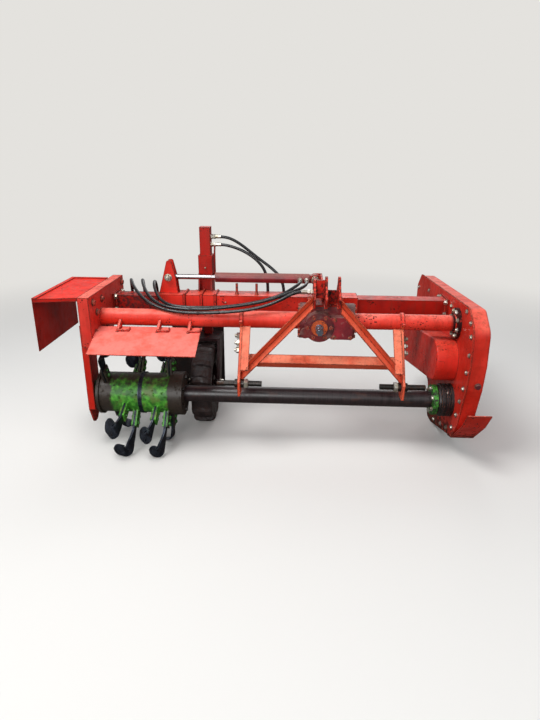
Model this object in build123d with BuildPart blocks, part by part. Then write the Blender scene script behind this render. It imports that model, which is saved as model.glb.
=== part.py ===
from build123d import *
import math
import os

os.makedirs("parts", exist_ok=True)

# Paddy levee former for a three-point hitch, in millimetres.
# X runs along the rotor from the levee hood to the drive case, Y runs rearwards
# from the tractor and Z is up from the floor. While the pieces are drawn, the
# rotor axis is at Y = 0; the finished part stands on the middle of its outline.

# Rotor
shaft_z = 288.0            # height of the rotor axis
shaft_od = 89.1
shaft_wall = 8.0
drum_left_x = -912.0
drum_right_x = -458.0
drum_od = 216.0
drum_wall = 8.0
left_disc_od = 240.0
left_disc_t = 14.0
collar_od = 235.0
collar_length = 70.0
stub_od = 55.0
drive_flange_gap = 6.0     # from the flange to the seal housing
drive_flange_od = 160.0
drive_flange_t = 24.0
shaft_plug_t = 20.0        # solid end of the long pipe

# Rotor blades and their holders. A blade is a flat shank that bends sideways into a foot.
blade_width = 62.0
blade_t = 9.0
blade_bend_r = 34.0
foot_corner_r = 22.0
low_angle = 40.0           # the long blades stand this far in front of straight down
low = math.radians(low_angle)
long_r = (shaft_z - blade_width / 2 * math.sin(low)) / math.cos(low)     # their corners touch the floor
short_r = 307.0
stations = [               # X of the shank, angle from straight down, reach, foot along X
    (-862.0, -152.0, short_r, 60.0),
    (-758.0, -68.0, short_r, -96.0),
    (-712.0, -low_angle, long_r, -105.0),
    (-597.0, -60.0, short_r, -78.0),
    (-546.0, -low_angle, long_r, -84.0),
    (-534.0, 0.0, shaft_z, -57.0),
]
holder_height = 84.0
holder_depth = 54.0
holder_wall = 9.0
seat_gap = 0.3             # between pieces that seat in each other
run_gap = 0.3              # between a turning shaft and its housing

# Main tubes
tube_y = 48.0
tube_z = 698.0
left_tube_od = 89.1
right_tube_od = 82.5
tube_wall = 6.3
tube_flange_od = 160.0
tube_flange_t = 15.0

# Rear beam and the carriage sleeve that slides on it
beam_y = 305.0
beam_z = 722.0
beam_depth = 100.0
beam_height = 80.0
beam_wall = 6.0
beam_flange_t = 12.0
beam_flange_rim = 26.0
sleeve_gap = 0.5
sleeve_wall = 10.0
sleeve_left_x = -632.0
sleeve_right_x = 470.0
rib_xs = [-495.0, -400.0, -322.0]
rib_t = 10.0
rib_rim = 8.0
stud_xs = [-200.0, -90.0]
stud_r = 7.0
stud_height = 62.0

# Left end plate, bearing arm, hood and front cover
end_plate_x = -890.0       # inner face
end_plate_t = 8.0
end_flange = 55.0
end_top_z = 838.0
end_bottom_z = 578.0
end_front_y = -125.0
end_rear_y = 440.0
end_rear_low_z = 640.0
arm_t = 10.0
arm_flange = 35.0
arm_front_y = -112.0
arm_rear_y = 52.0
arm_top_z = 690.0
arm_tip_z = 136.0
arm_toe_y = -70.0
arm_sole_y = -30.0
arm_heel_y = 28.0
arm_taper = 60.0           # height of the arm's tapered foot
bearing_od = 122.0
hood_outer_x = -1152.0
hood_front_y = -165.0
hood_rear_y = 345.0
hood_bottom_z = 570.0
hood_lip = 14.0
sheet_t = 4.0
cover_right_x = -352.0
cover_points = [(-2.0, 658.0), (-74.0, 648.0), (-230.0, 582.0)]   # Y, Z from the tube to the lip
lug_xs = [-786.0, -580.0, -421.0]
lug_t = 14.0
lug_foot = 50.0

# Hitch
hitch_x = 262.5
pin_span = 825.0           # between the two bracket webs
pin_y = -128.0
pin_z = 408.0
pin_r = 14.3
pin_length = 228.0
pin_collar_r = 22.0
web_t = 14.0
bracket_width = 55.0
bracket_t = 8.0
saddle_reach = 70.0        # how far a bracket web reaches round the tube's axis
flange_rise = 80.0         # from the pin up to the foot of the bracket's front flange
flange_reach = 45.0
flange_drop = 26.0
web_neck = 150.0
web_nose = 40.0
pin_boss = 60.0
flange_lean = 20.0
pin_collar_t = 16.0
strap_t = 8.0
strap_width = 16.0
strap_ear = 36.0
bar_size = 50.0
bar_t = 6.0
bar_y = -70.0
bar_z = 500.0
brace_size = 34.0
brace_t = 5.0
mast_t = 12.0
mast_gap = 52.0
mast_x = 309.0
mast_base_z = 790.0
mast_base_t = 10.0
top_link_r = 12.9
top_link_y = -20.0
top_link_z = 905.0
ear_r = 38.0
mast_side_x = 213.0        # left face of the side plate that carries the left brace
mast_nose_y = -133.0
mast_nose_z = 850.0
mast_face_y = -48.0
mast_face_low_z = 840.0
mast_face_top_z = 930.0
brace_top_y = -131.0
brace_foot_y = -118.0
brace_zs = [(840.0, 448.0), (820.0, 454.0)]    # left and right: top, foot

# Gearbox on the main tubes
pto_x = 248.0
box_wall = 12.0
box_mid_x = 280.0
box_width = 150.0
box_depth = 150.0
mast_base_rim = 14.0
box_left_x = 152.0
box_right_x = 428.0
box_r = 92.0
lobe_x = 178.0
lobe_z = 660.0
lobe_r = 26.0
lobe_front_y = -60.0
box_front_y = -85.0
pto_boss_r = 62.0
pto_seal_r = 40.0
pto_seal_t = 8.0
pto_r = 17.5
pto_length = 76.0
pto_journal_r = 20.0
lid_x = 300.0
lid_width = 112.0
lid_height = 112.0
lid_t = 10.0

# Drive side
case_x = 960.0             # inner face of the case plate
case_t = 85.0
case_plate_t = 6.0
case_rim = 8.0
case_edge_r = 12.0
drive_edge_r = 10.0
case_corners = [           # Y, Z and radius round the plate, from the front top corner
    (-106.0, 821.0, 60.0), (-221.0, 733.0, 80.0), (-237.0, 566.0, 60.0), (-222.0, 430.0, 60.0),
    (-160.0, 215.0, 40.0), (-95.0, 120.0, 22.0), (320.0, 0.0, 22.0), (405.0, 0.0, 22.0),
    (470.0, 200.0, 60.0), (900.0, 300.0, 90.0), (1004.0, 560.0, 60.0), (1010.0, 690.0, 40.0),
    (925.0, 776.0, 40.0),
]
drive_x = 850.0            # inner face of the rear drive housing
drive_front = (50.0, 500.0, 112.0)     # Y, Z, radius
drive_rear = (730.0, 375.0, 125.0)
seal_od = 175.0
seal_t = 74.0
guard_points = [(-300.0, 340.0), (-236.0, 250.0)]      # Y, Z of the guard's lip and bend
guard_t = 6.0
guard_seat = 66.0          # how far the guard runs on under the case
guard_overhang = 30.0

# Gauge wheel
wheel_x = -392.0
wheel_y = 292.0
wheel_r = 235.0
wheel_width = 122.0
rim_r = 120.0
rim_t = 8.0
lug_count = 14
tread_lug_height = 16.0
tread_lug_t = 20.0
axle_r = 15.0
hub_r = 42.0

# Wheel post
post_x = -388.0
post_y = 418.0
post_size = 60.0
post_wall = 5.0
post_top_z = 1124.0
clamp_wall = 9.5
clamp_top_z = 969.0
clamp_low_z = 700.0
clamp_flange = 20.0
leg_gap = 0.5              # between the sliding leg and the inside of the post
leg_wall = 5.0
leg_length = 400.0
lift_up = 70.0             # the leg's travel up from rest
lift_clear = 8.0
tyre_clear = 18.0
fork_t = 14.0
fork_width = 76.0
fork_gap = 10.0
fork_front_y = 300.0       # front edge of the fork's top plate

# Cylinder that shifts the carriage
cylinder_z = 862.0
barrel_od = 54.0
barrel_id = 42.0
barrel_left_x = -321.0
barrel_right_x = 200.0
barrel_head = 36.0
anchor_pin_x = 232.0
rod_r = 14.0
rod_pin_x = -581.0
rod_pin_r = 12.5
rod_end_x = -110.0
piston_length = 30.0
bracket_top_z = 955.0
gusset_top_z = 870.0
eye_r = 26.0
eye_width = 38.0
ear_t = 10.0

# Hydraulic hoses. Each route is a list of points chosen by hand along the real one.
hose_od = 17.0
port_xs = [150.0, 186.0]
port_r = 11.0
port_length = 26.0
supply_y = 40.0
supply_z = 850.0
lift_port_zs = [1070.0, 1026.0]
elbow_xs = [60.0, -32.0]
elbow_y = 386.0
elbow_z = 726.0
elbow_length = 34.0
elbow_arm = 18.0
coupler_r = 13.0
coupler_length = 62.0
port_y = beam_y - barrel_od / 2 - port_length
supply_x = mast_side_x - port_length
lift_x = post_x + post_size / 2 + port_length
hose_routes = {            # X, Y, Z from the port to the far end
    "hose_shift_a": [
        (port_xs[0], port_y, cylinder_z), (port_xs[0], 204, cylinder_z), (133, 157, 856), (99, 120, 840),
        (49, 95, 816), (-40, 84, 788), (-140, 77, 767), (-250, 62, 756), (-355, 51, 754), (-455, 50, 754),
        (-535, 68, 760), (-592, 114, 776), (-628, 172, 804), (-650, 228, 829), (-661, 280, 839),
        (-668, 332, 826), (-672, 368, 786), (-673, 386, 728), (-673, 386, 664),
    ],
    "hose_shift_b": [
        (port_xs[1], port_y, cylinder_z), (port_xs[1], 202, cylinder_z), (176, 150, 856), (142, 108, 846),
        (80, 80, 826), (0, 60, 802), (-95, 50, 780), (-205, 40, 764), (-330, 27, 752), (-450, 27, 751),
        (-545, 42, 756), (-620, 86, 774), (-674, 150, 806), (-708, 216, 836), (-728, 282, 848),
        (-740, 336, 828), (-746, 372, 778), (-748, 386, 720), (-748, 386, 662),
    ],
    "hose_supply": [
        (supply_x, supply_y, supply_z), (143, supply_y, supply_z), (100, 34, 836), (40, 16, 804),
        (-45, 6, 774), (-140, 0, 755), (-250, 0, 744), (-360, 3, 738), (-460, 6, 738), (-560, 22, 748),
        (-650, 66, 774), (-715, 132, 808), (-762, 204, 838), (-790, 278, 850), (-808, 334, 828),
        (-818, 372, 776), (-820, 386, 718), (-820, 386, 660),
    ],
    "hose_lift_upper": [
        (lift_x, post_y, lift_port_zs[0]), (-284, post_y, lift_port_zs[0]), (-236, 418, 1057),
        (-184, 418, 1026), (-130, 417, 984), (-72, 414, 940), (-14, 408, 900), (34, 398, 856),
        (56, 389, 804), (elbow_xs[0], elbow_y, 758), (elbow_xs[0], elbow_y, elbow_z),
    ],
    "hose_lift_lower": [
        (lift_x, post_y, lift_port_zs[1]), (-286, post_y, lift_port_zs[1]), (-236, 412, 1016),
        (-182, 400, 999), (-130, 391, 972), (-86, 386, 938), (-52, 384, 894), (-36, 385, 840),
        (elbow_xs[1], elbow_y, 782), (elbow_xs[1], elbow_y, elbow_z),
    ],
}
hung_ends = ["hose_shift_a", "hose_shift_b", "hose_supply"]    # these end in a coupler behind the beam

pieces = []


def save(builder, label):
    """Keep a finished piece under its name, to be written once the whole outline is known."""
    builder.part.label = label
    pieces.append(builder.part)


def across(x):
    """Sketch plane across the machine at x: sketch x is Y and sketch y is Z."""
    return Plane.YZ.offset(x)


def bar_x(x0, x1, y, z, od, bore=0):
    """Round bar or tube along X."""
    with BuildPart() as bar:
        with BuildSketch(across(x0)):
            with Locations((y, z)):
                Circle(od / 2)
                if bore:
                    Circle(bore / 2, mode=Mode.SUBTRACT)
        extrude(amount=x1 - x0)
    return bar.part


def angle_iron(start, end, size, t, corner):
    """Angle section from start to end, cut square across the machine; its corner faces a side."""
    run = Vector(*end) - Vector(*start)
    spare = run.normalized() * 2 * size
    turn = Plane(origin=Vector(*start) - spare, x_dir=Vector(*corner), z_dir=run)
    with BuildPart() as iron:
        with BuildSketch(turn):
            with Locations(Location((0, 0), 135)):
                Rectangle(size, t, align=(Align.MIN, Align.MIN))
                Rectangle(t, size, align=(Align.MIN, Align.MIN))
        extrude(amount=run.length + 2 * spare.length)
        split(bisect_by=across(min(start[0], end[0])), keep=Keep.TOP)
        split(bisect_by=across(max(start[0], end[0])), keep=Keep.BOTTOM)
    return iron.part


# Blade holder: two cheeks that stand on the drum's underside
with BuildPart() as holder:
    with BuildSketch(Plane.XY.offset(-drum_od / 2 - holder_height)):
        Rectangle(blade_t + 2 * seat_gap + 2 * holder_wall, holder_depth)
        Rectangle(blade_t + 2 * seat_gap, holder_depth, mode=Mode.SUBTRACT)
    extrude(amount=holder_height + drum_wall / 2)

# Where each blade goes: two to a station, on opposite sides
blade_places = [
    (Location((x, 0, shaft_z), (angle + turn, 0, 0)), reach, foot)
    for x, angle, reach, foot in stations
    for turn in (0, 180)
]

# Rotor drum: pipe, end disc, collar, left stub and the blade holders
arm_x = end_plate_x - end_flange       # inner face of the bearing arm
with BuildPart() as rotor_drum:
    collar_x = drum_right_x - collar_length
    add(bar_x(drum_left_x + left_disc_t, collar_x, 0, shaft_z, drum_od, drum_od - 2 * drum_wall))
    add(bar_x(drum_left_x, drum_left_x + left_disc_t, 0, shaft_z, left_disc_od))
    add(bar_x(collar_x, drum_right_x, 0, shaft_z, collar_od))
    add(bar_x(arm_x, drum_left_x, 0, shaft_z, stub_od))
    for place, _, _ in blade_places:
        with Locations(place):
            add(holder.part)
save(rotor_drum, "rotor_drum")

# Rotor shaft: the long pipe with its solid end, and the stub in the case
with BuildPart() as rotor_shaft:
    drive_flange_x = case_x - seal_t - drive_flange_gap - drive_flange_t
    plug_x = drive_flange_x - shaft_plug_t
    add(bar_x(drum_right_x, plug_x, 0, shaft_z, shaft_od, shaft_od - 2 * shaft_wall))
    add(bar_x(plug_x, drive_flange_x, 0, shaft_z, shaft_od))
    add(bar_x(drive_flange_x, case_x - arm_t, 0, shaft_z, stub_od))
save(rotor_shaft, "rotor_shaft")

with BuildPart() as drive_flange:
    add(bar_x(
        drive_flange_x, drive_flange_x + drive_flange_t, 0, shaft_z, drive_flange_od,
        stub_od + 2 * seat_gap,
    ))
save(drive_flange, "drive_flange")


def blade(reach, foot):
    """Blade that points down: its shank bends along X into a foot that ends at reach."""
    root_r = drum_od / 2 + drum_wall
    half_t = blade_t / 2
    side = math.copysign(1, foot)
    with BuildPart() as one:
        with BuildSketch(Plane.XZ) as outline:
            with BuildLine():
                Polyline(
                    (-side * half_t, -root_r), (side * half_t, -root_r),
                    (side * half_t, -reach + blade_t), (foot, -reach + blade_t),
                    (foot, -reach), (-side * half_t, -reach), close=True,
                )
            make_face()
            back = 0 if side > 0 else -1
            fillet(outline.vertices().group_by(Axis.Y)[0].sort_by(Axis.X)[back], blade_bend_r + blade_t)
            fillet(outline.vertices().group_by(Axis.Y)[1].sort_by(Axis.X)[back], blade_bend_r)
        extrude(amount=blade_width / 2, both=True)
        fillet(one.edges().filter_by(Axis.Z).group_by(Axis.X)[-1 - back], foot_corner_r)
    return one.part


# Rotor blades
with BuildPart() as rotor_blades:
    for place, reach, foot in blade_places:
        with Locations(place):
            add(blade(reach, foot))
save(rotor_blades, "rotor_blades")

# Main tubes
with BuildPart() as left_tube:
    add(bar_x(end_plate_x, box_left_x, tube_y, tube_z, left_tube_od, left_tube_od - 2 * tube_wall))
save(left_tube, "left_tube")

with BuildPart() as right_tube:
    flange_x = case_x - tube_flange_t
    add(bar_x(box_right_x, flange_x, tube_y, tube_z, right_tube_od, right_tube_od - 2 * tube_wall))
    add(bar_x(flange_x, case_x, tube_y, tube_z, tube_flange_od))
save(right_tube, "right_tube")

# Rear beam with its end flanges
with BuildPart() as main_beam:
    with BuildSketch(across(end_plate_x + beam_flange_t)):
        with Locations((beam_y, beam_z)):
            Rectangle(beam_depth, beam_height)
            Rectangle(beam_depth - 2 * beam_wall, beam_height - 2 * beam_wall, mode=Mode.SUBTRACT)
    extrude(amount=case_x - end_plate_x - 2 * beam_flange_t)
    for x in (end_plate_x, case_x - beam_flange_t):
        with BuildSketch(across(x)):
            with Locations((beam_y, beam_z)):
                Rectangle(beam_depth + 2 * beam_flange_rim, beam_height + beam_flange_rim)
        extrude(amount=beam_flange_t)
save(main_beam, "main_beam")

# Carriage sleeve round the beam, with its ribs and two clamp studs
sleeve_depth = beam_depth + 2 * (sleeve_gap + sleeve_wall)
sleeve_height = beam_height + 2 * (sleeve_gap + sleeve_wall)
sleeve_top_z = beam_z + sleeve_height / 2
with BuildPart() as beam_sleeve:
    with BuildSketch(across(sleeve_left_x)):
        with Locations((beam_y, beam_z)):
            Rectangle(sleeve_depth, sleeve_height)
    extrude(amount=sleeve_right_x - sleeve_left_x)
    for x in rib_xs:
        with BuildSketch(across(x)):
            with Locations((beam_y - rib_rim / 2, beam_z)):
                Rectangle(sleeve_depth + rib_rim, sleeve_height + 2 * rib_rim)
        extrude(amount=rib_t)
    with BuildSketch(across(sleeve_left_x)):
        with Locations((beam_y, beam_z)):
            Rectangle(beam_depth + 2 * sleeve_gap, beam_height + 2 * sleeve_gap)
    extrude(amount=sleeve_right_x - sleeve_left_x, mode=Mode.SUBTRACT)
save(beam_sleeve, "beam_sleeve")

with BuildPart() as clamp_studs:
    with BuildSketch(Plane.XY.offset(sleeve_top_z)):
        with Locations(*[(x, beam_y - beam_depth / 4) for x in stud_xs]):
            Circle(stud_r)
    extrude(amount=stud_height)
save(clamp_studs, "clamp_studs")

# Left end plate: a channel open to the outside
with BuildPart() as end_plate:
    with BuildSketch(across(end_plate_x)):
        with BuildLine():
            Polyline(
                (end_front_y, end_top_z), (end_rear_y, end_top_z), (end_rear_y, end_rear_low_z),
                (arm_rear_y + end_flange, end_bottom_z), (end_front_y, end_bottom_z), close=True,
            )
        make_face()
    extrude(amount=-end_plate_t)
    with BuildSketch(across(end_plate_x - end_plate_t)):
        with BuildLine():
            Polyline(
                (end_front_y, end_bottom_z), (end_front_y, end_top_z), (end_rear_y, end_top_z),
                (end_rear_y, end_top_z - end_plate_t),
                (end_front_y + end_plate_t, end_top_z - end_plate_t),
                (end_front_y + end_plate_t, end_bottom_z), close=True,
            )
        make_face()
    extrude(amount=end_plate_t - end_flange)
save(end_plate, "end_plate")

# Bearing arm: a second channel on the outside of the end plate, down to the rotor
with BuildPart() as bearing_arm:
    with BuildSketch(across(arm_x)):
        with BuildLine():
            Polyline(
                (arm_front_y, arm_top_z), (arm_rear_y, arm_top_z), (arm_rear_y, shaft_z),
                (arm_heel_y, arm_tip_z + arm_taper), (arm_sole_y, arm_tip_z), (arm_toe_y, arm_tip_z),
                (arm_front_y, shaft_z - arm_taper), close=True,
            )
        make_face()
        fillet(vertices().group_by(Axis.Y)[0], 18)
    extrude(amount=-arm_t)
    with BuildSketch(across(arm_x)):
        with BuildLine():
            Polyline(
                (arm_front_y, end_bottom_z), (arm_front_y + arm_t, end_bottom_z),
                (arm_front_y + arm_t, shaft_z - arm_taper), (arm_front_y, shaft_z - arm_taper), close=True,
            )
        make_face()
    extrude(amount=arm_flange - arm_t)
save(bearing_arm, "bearing_arm")

with BuildPart() as rotor_bearing:
    add(bar_x(arm_x, arm_x + arm_t * 3, 0, shaft_z, bearing_od, stub_od + 2 * run_gap))
save(rotor_bearing, "rotor_bearing")

# Hood outside the end plate: a roof and an outer wall with a front lip
with BuildPart() as side_hood:
    with BuildSketch(across(hood_outer_x)):
        with BuildLine():
            Polyline(
                (hood_front_y, end_top_z), (hood_rear_y, end_top_z), (hood_rear_y, hood_bottom_z),
                (hood_front_y, hood_bottom_z), close=True,
            )
        make_face()
    extrude(amount=sheet_t)
    with BuildSketch(Plane.XY.offset(end_top_z - sheet_t)):
        with BuildLine():
            Polyline(
                (hood_outer_x, hood_front_y), (arm_x, end_front_y), (arm_x, hood_rear_y),
                (hood_outer_x, hood_rear_y), close=True,
            )
        make_face()
    extrude(amount=sheet_t)
    with BuildSketch(Plane.XY.offset(end_top_z - sheet_t - hood_lip)):
        with BuildLine():
            Polyline(
                (hood_outer_x, hood_front_y), (arm_x, end_front_y),
                (arm_x, end_front_y + sheet_t), (hood_outer_x, hood_front_y + sheet_t), close=True,
            )
        make_face()
    extrude(amount=hood_lip)
save(side_hood, "side_hood")

# Bent cover in front of the rotor and the lugs that hang it on the tube
with BuildPart() as front_cover:
    with BuildSketch(across(end_plate_x)):
        with BuildLine():
            Polyline(*cover_points)
        trace(line_width=sheet_t)
    extrude(amount=cover_right_x - end_plate_x)
save(front_cover, "front_cover")

with BuildPart() as cover_lugs:
    (top_y, top_z), (bend_y, bend_z), lip = cover_points
    slope = math.atan2(top_z - bend_z, top_y - bend_y)
    lift = sheet_t / 2 / math.cos(slope)
    for x in lug_xs:
        with BuildSketch(across(x)):
            with BuildLine():
                Polyline(
                    (bend_y, bend_z + lift), (top_y, top_z + lift), (tube_y, tube_z),
                    (tube_y - left_tube_od / 2, tube_z), close=True,
                )
            make_face()
            with Locations((tube_y, tube_z)):
                Circle(left_tube_od / 2, mode=Mode.SUBTRACT)
        extrude(amount=lug_t)
save(cover_lugs, "cover_lugs")

flange_top_y = tube_y - flange_reach
flange_top_z = tube_z - flange_drop
# Lower hitch brackets: a side web that saddles the tube, with a front flange
for name, side, tube_od in (("left", -1, left_tube_od), ("right", 1, right_tube_od)):
    web_x = hitch_x + side * pin_span / 2
    inner = web_x - side * web_t / 2
    with BuildPart() as bracket:
        with BuildSketch(across(web_x - web_t / 2)):
            with BuildLine():
                Polyline(
                    (tube_y - saddle_reach, tube_z), (tube_y + saddle_reach, tube_z),
                    (tube_y + saddle_reach, tube_z - saddle_reach), (tube_y, tube_z - web_neck),
                    (pin_y + pin_boss, pin_z - flange_lean), (pin_y + pin_boss / 2, pin_z - pin_boss),
                    (pin_y - pin_boss / 2, pin_z - pin_boss), (pin_y - web_nose, pin_z + flange_lean),
                    (flange_top_y, flange_top_z), close=True,
                )
            make_face()
            with Locations((tube_y, tube_z)):
                Circle(tube_od / 2, mode=Mode.SUBTRACT)
            with Locations((pin_y, pin_z)):
                Circle(pin_r + seat_gap, mode=Mode.SUBTRACT)
        extrude(amount=web_t)
        with BuildSketch(across(min(inner, inner - side * (bracket_width - web_t)))):
            with BuildLine():
                Polyline(
                    (flange_top_y, flange_top_z), (flange_top_y + bracket_t, flange_top_z),
                    (pin_y - flange_lean, pin_z + flange_rise),
                    (pin_y - flange_lean - bracket_t, pin_z + flange_rise), close=True,
                )
            make_face()
        extrude(amount=bracket_width - web_t)
    save(bracket, f"hitch_bracket_{name}")

    with BuildPart() as pin:
        start = web_x - pin_length / 2
        add(bar_x(start, start + pin_length, pin_y, pin_z, 2 * pin_r))
        for x in (web_x - web_t / 2 - pin_collar_t - seat_gap, web_x + web_t / 2 + seat_gap):
            add(bar_x(x, x + pin_collar_t, pin_y, pin_z, 2 * pin_collar_r))
    save(pin, f"hitch_pin_{name}")

with BuildPart() as tube_straps:
    for web_x, tube_od in (
        (hitch_x - pin_span / 2, left_tube_od), (hitch_x + pin_span / 2, right_tube_od),
    ):
        with BuildSketch(across(web_x - strap_width / 2)):
            with Locations((tube_y, tube_z)):
                Circle(tube_od / 2 + strap_t)
                Circle(tube_od / 2, mode=Mode.SUBTRACT)
                Rectangle(tube_od * 2, tube_od, align=(Align.CENTER, Align.MAX), mode=Mode.SUBTRACT)
            for side in (-1, 1):
                with Locations((tube_y + side * (tube_od / 2 + strap_ear / 2), tube_z + strap_t / 2)):
                    Rectangle(strap_ear, strap_t)
        extrude(amount=strap_width)
save(tube_straps, "tube_straps")

# Cross bar and the two braces of the hitch frame
left_web = hitch_x - pin_span / 2 + web_t / 2
right_web = hitch_x + pin_span / 2 - web_t / 2
with BuildPart() as cross_bar:
    add(angle_iron((left_web, bar_y, bar_z), (right_web, bar_y, bar_z), bar_size, bar_t, (0, -1, 0)))
save(cross_bar, "cross_bar")

# Gearbox: bevel housing round the tube axis, input boss, front lid and mast base
with BuildPart() as gearbox_housing:
    add(bar_x(box_left_x, box_right_x, tube_y, tube_z, 2 * box_r))
    with BuildSketch(Plane.XZ.offset(-tube_y)):
        with Locations((pto_x, tube_z)):
            Circle(pto_boss_r + box_wall)
    extrude(amount=tube_y - box_front_y)
    with BuildSketch(Plane.XY.offset(tube_z)):
        with Locations((box_mid_x, tube_y)):
            Rectangle(box_width, box_depth)
    extrude(amount=mast_base_z - tube_z)
    with BuildSketch(Plane.XZ.offset(-tube_y)):
        with Locations((lobe_x, lobe_z)):
            Circle(lobe_r)
    extrude(amount=tube_y - lobe_front_y)
    with BuildSketch(Plane.XZ.offset(-box_front_y)):
        with Locations((pto_x, tube_z)):
            Circle(pto_journal_r + run_gap)
    extrude(amount=box_front_y - tube_y, mode=Mode.SUBTRACT)
save(gearbox_housing, "gearbox_housing")

with BuildPart() as gearbox_lid:
    lid_back_y = tube_y - box_r
    with BuildSketch(Plane.XZ.offset(-lid_back_y)):
        with Locations((lid_x + lid_width / 2, tube_z)):
            RectangleRounded(lid_width, lid_height, 12)
    extrude(amount=lid_back_y - box_front_y + lid_t)
    with BuildSketch(Plane.XZ.offset(-tube_y)):
        with Locations((pto_x, tube_z)):
            Circle(pto_boss_r + box_wall)
    extrude(amount=tube_y - box_front_y + lid_t, mode=Mode.SUBTRACT)
save(gearbox_lid, "gearbox_lid")

with BuildPart() as input_seal:
    with BuildSketch(Plane.XZ.offset(-box_front_y)):
        with Locations((pto_x, tube_z)):
            Circle(pto_seal_r)
            Circle(pto_journal_r + run_gap, mode=Mode.SUBTRACT)
    extrude(amount=pto_seal_t)
save(input_seal, "input_seal")

with BuildPart() as pto_shaft:
    with BuildSketch(Plane.XZ.offset(-tube_y + box_wall)):
        with Locations((pto_x, tube_z)):
            Circle(pto_journal_r)
    extrude(amount=tube_y - box_wall - box_front_y + pto_seal_t)
    with BuildSketch(Plane.XZ.offset(pto_seal_t - box_front_y)):
        with Locations((pto_x, tube_z)):
            Circle(pto_r)
    extrude(amount=pto_length)
save(pto_shaft, "pto_shaft")

# Mast: base plate, two ears for the top link and the anchor of the shift cylinder
with BuildPart() as mast_base:
    with BuildSketch(Plane.XY.offset(mast_base_z)):
        with Locations((box_mid_x, tube_y)):
            Rectangle(box_width + 2 * mast_base_rim, box_depth)
    extrude(amount=mast_base_t)
save(mast_base, "mast_base")

mast_foot_z = mast_base_z + mast_base_t
mast_front = [                         # Y, Z up the front edge, from the base to the nose
    (tube_y - box_depth / 2, mast_foot_z), (mast_nose_y + 8, mast_foot_z + 6), (mast_nose_y, mast_nose_z),
]
mast_back = (tube_y + box_depth / 2, mast_foot_z)
right_ear_x = mast_x + mast_gap / 2
with BuildPart() as mast_ears:
    for x in (mast_x - mast_gap / 2 - mast_t, right_ear_x):
        with BuildSketch(across(x)):
            with BuildLine():
                Polyline(
                    *mast_front, (top_link_y - ear_r, top_link_z), (top_link_y + ear_r, top_link_z),
                    mast_back, close=True,
                )
            make_face()
            with Locations((top_link_y, top_link_z)):
                Circle(ear_r)
                Circle(top_link_r, mode=Mode.SUBTRACT)
        extrude(amount=mast_t)
save(mast_ears, "mast_ears")

with BuildPart() as mast_side:
    with BuildSketch(across(mast_side_x)):
        with BuildLine():
            Polyline(
                *mast_front, (mast_face_y, mast_face_top_z), (top_link_y + ear_r, mast_face_top_z),
                mast_back, close=True,
            )
        make_face()
    extrude(amount=mast_t)
    face_x = mast_side_x + mast_t
    face_width = mast_x - mast_gap / 2 - mast_t - face_x
    with BuildSketch(Plane.XZ.offset(-mast_face_y)) as face:
        with Locations((face_x, mast_face_low_z)):
            Rectangle(face_width, mast_face_top_z - mast_face_low_z, align=(Align.MIN, Align.MIN))
    extrude(amount=-mast_t)
save(mast_side, "mast_side")

anchor_x = mast_x - mast_gap / 2 - mast_t - ear_t      # the anchor's plate lies on the mast's left ear
lug_y = eye_width / 2 + seat_gap
with BuildPart() as cylinder_anchor:
    with BuildSketch(across(anchor_x)):
        with BuildLine():
            Polyline(
                (top_link_y + ear_r, mast_foot_z + 6), (beam_y + lug_y + ear_t, mast_foot_z + 6),
                (beam_y + lug_y + ear_t, cylinder_z + eye_r), (beam_y - 2 * eye_width, cylinder_z + eye_r),
                (top_link_y + ear_r, mast_nose_z), close=True,
            )
        make_face()
    extrude(amount=ear_t)
    for y in (beam_y - lug_y, beam_y + lug_y + ear_t):
        with BuildSketch(Plane.XZ.offset(-y)):
            with Locations((anchor_pin_x, cylinder_z)):
                Circle(eye_r)
            with Locations((anchor_pin_x, cylinder_z)):
                Rectangle(anchor_x - anchor_pin_x, 2 * eye_r, align=(Align.MIN, Align.CENTER))
        extrude(amount=ear_t)
    with BuildSketch(Plane.XZ.offset(-(beam_y + lug_y + ear_t))):
        with Locations((anchor_pin_x, cylinder_z)):
            Circle(rod_pin_r)
    extrude(amount=2 * (lug_y + ear_t))
save(cylinder_anchor, "cylinder_anchor")

with BuildPart() as mast_braces:
    for (top_z, foot_z), top_x, foot_x in zip(
        brace_zs, (mast_side_x, right_ear_x + mast_t), (left_web, right_web),
    ):
        add(angle_iron(
            (top_x, brace_top_y, top_z), (foot_x, brace_foot_y, foot_z), brace_size, brace_t, (0, -1, 0),
        ))
save(mast_braces, "mast_braces")

# Drive case: a bolted plate, the casing behind it and the guard at its foot
case_points = [(y, z) for y, z, _ in case_corners]
case_radii = [r for _, _, r in case_corners]
with BuildPart() as case_plate:
    with BuildSketch(across(case_x)):
        with BuildLine():
            FilletPolyline(*case_points, radius=case_radii, close=True)
        make_face()
    extrude(amount=case_plate_t)
save(case_plate, "case_plate")

with BuildPart() as drive_case:
    with BuildSketch(across(case_x + case_plate_t)):
        with BuildLine():
            FilletPolyline(*case_points, radius=case_radii, close=True)
        make_face()
        offset(amount=-case_rim)
    extrude(amount=case_t - case_plate_t)
    fillet(drive_case.faces().sort_by(Axis.X)[-1].edges(), case_edge_r)
save(drive_case, "drive_case")

toe, heel = Vector(*case_points[5]), Vector(*case_points[6])
along = (heel - toe).normalized()
below = Vector(along.Y, -along.X) * guard_t / 2
with BuildPart() as case_guard:
    with BuildSketch(across(case_x)):
        with BuildLine():
            Polyline(*guard_points, toe + below, toe + along * guard_seat + below)
        trace(line_width=guard_t)
    extrude(amount=case_t + guard_overhang)
save(case_guard, "case_guard")

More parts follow.
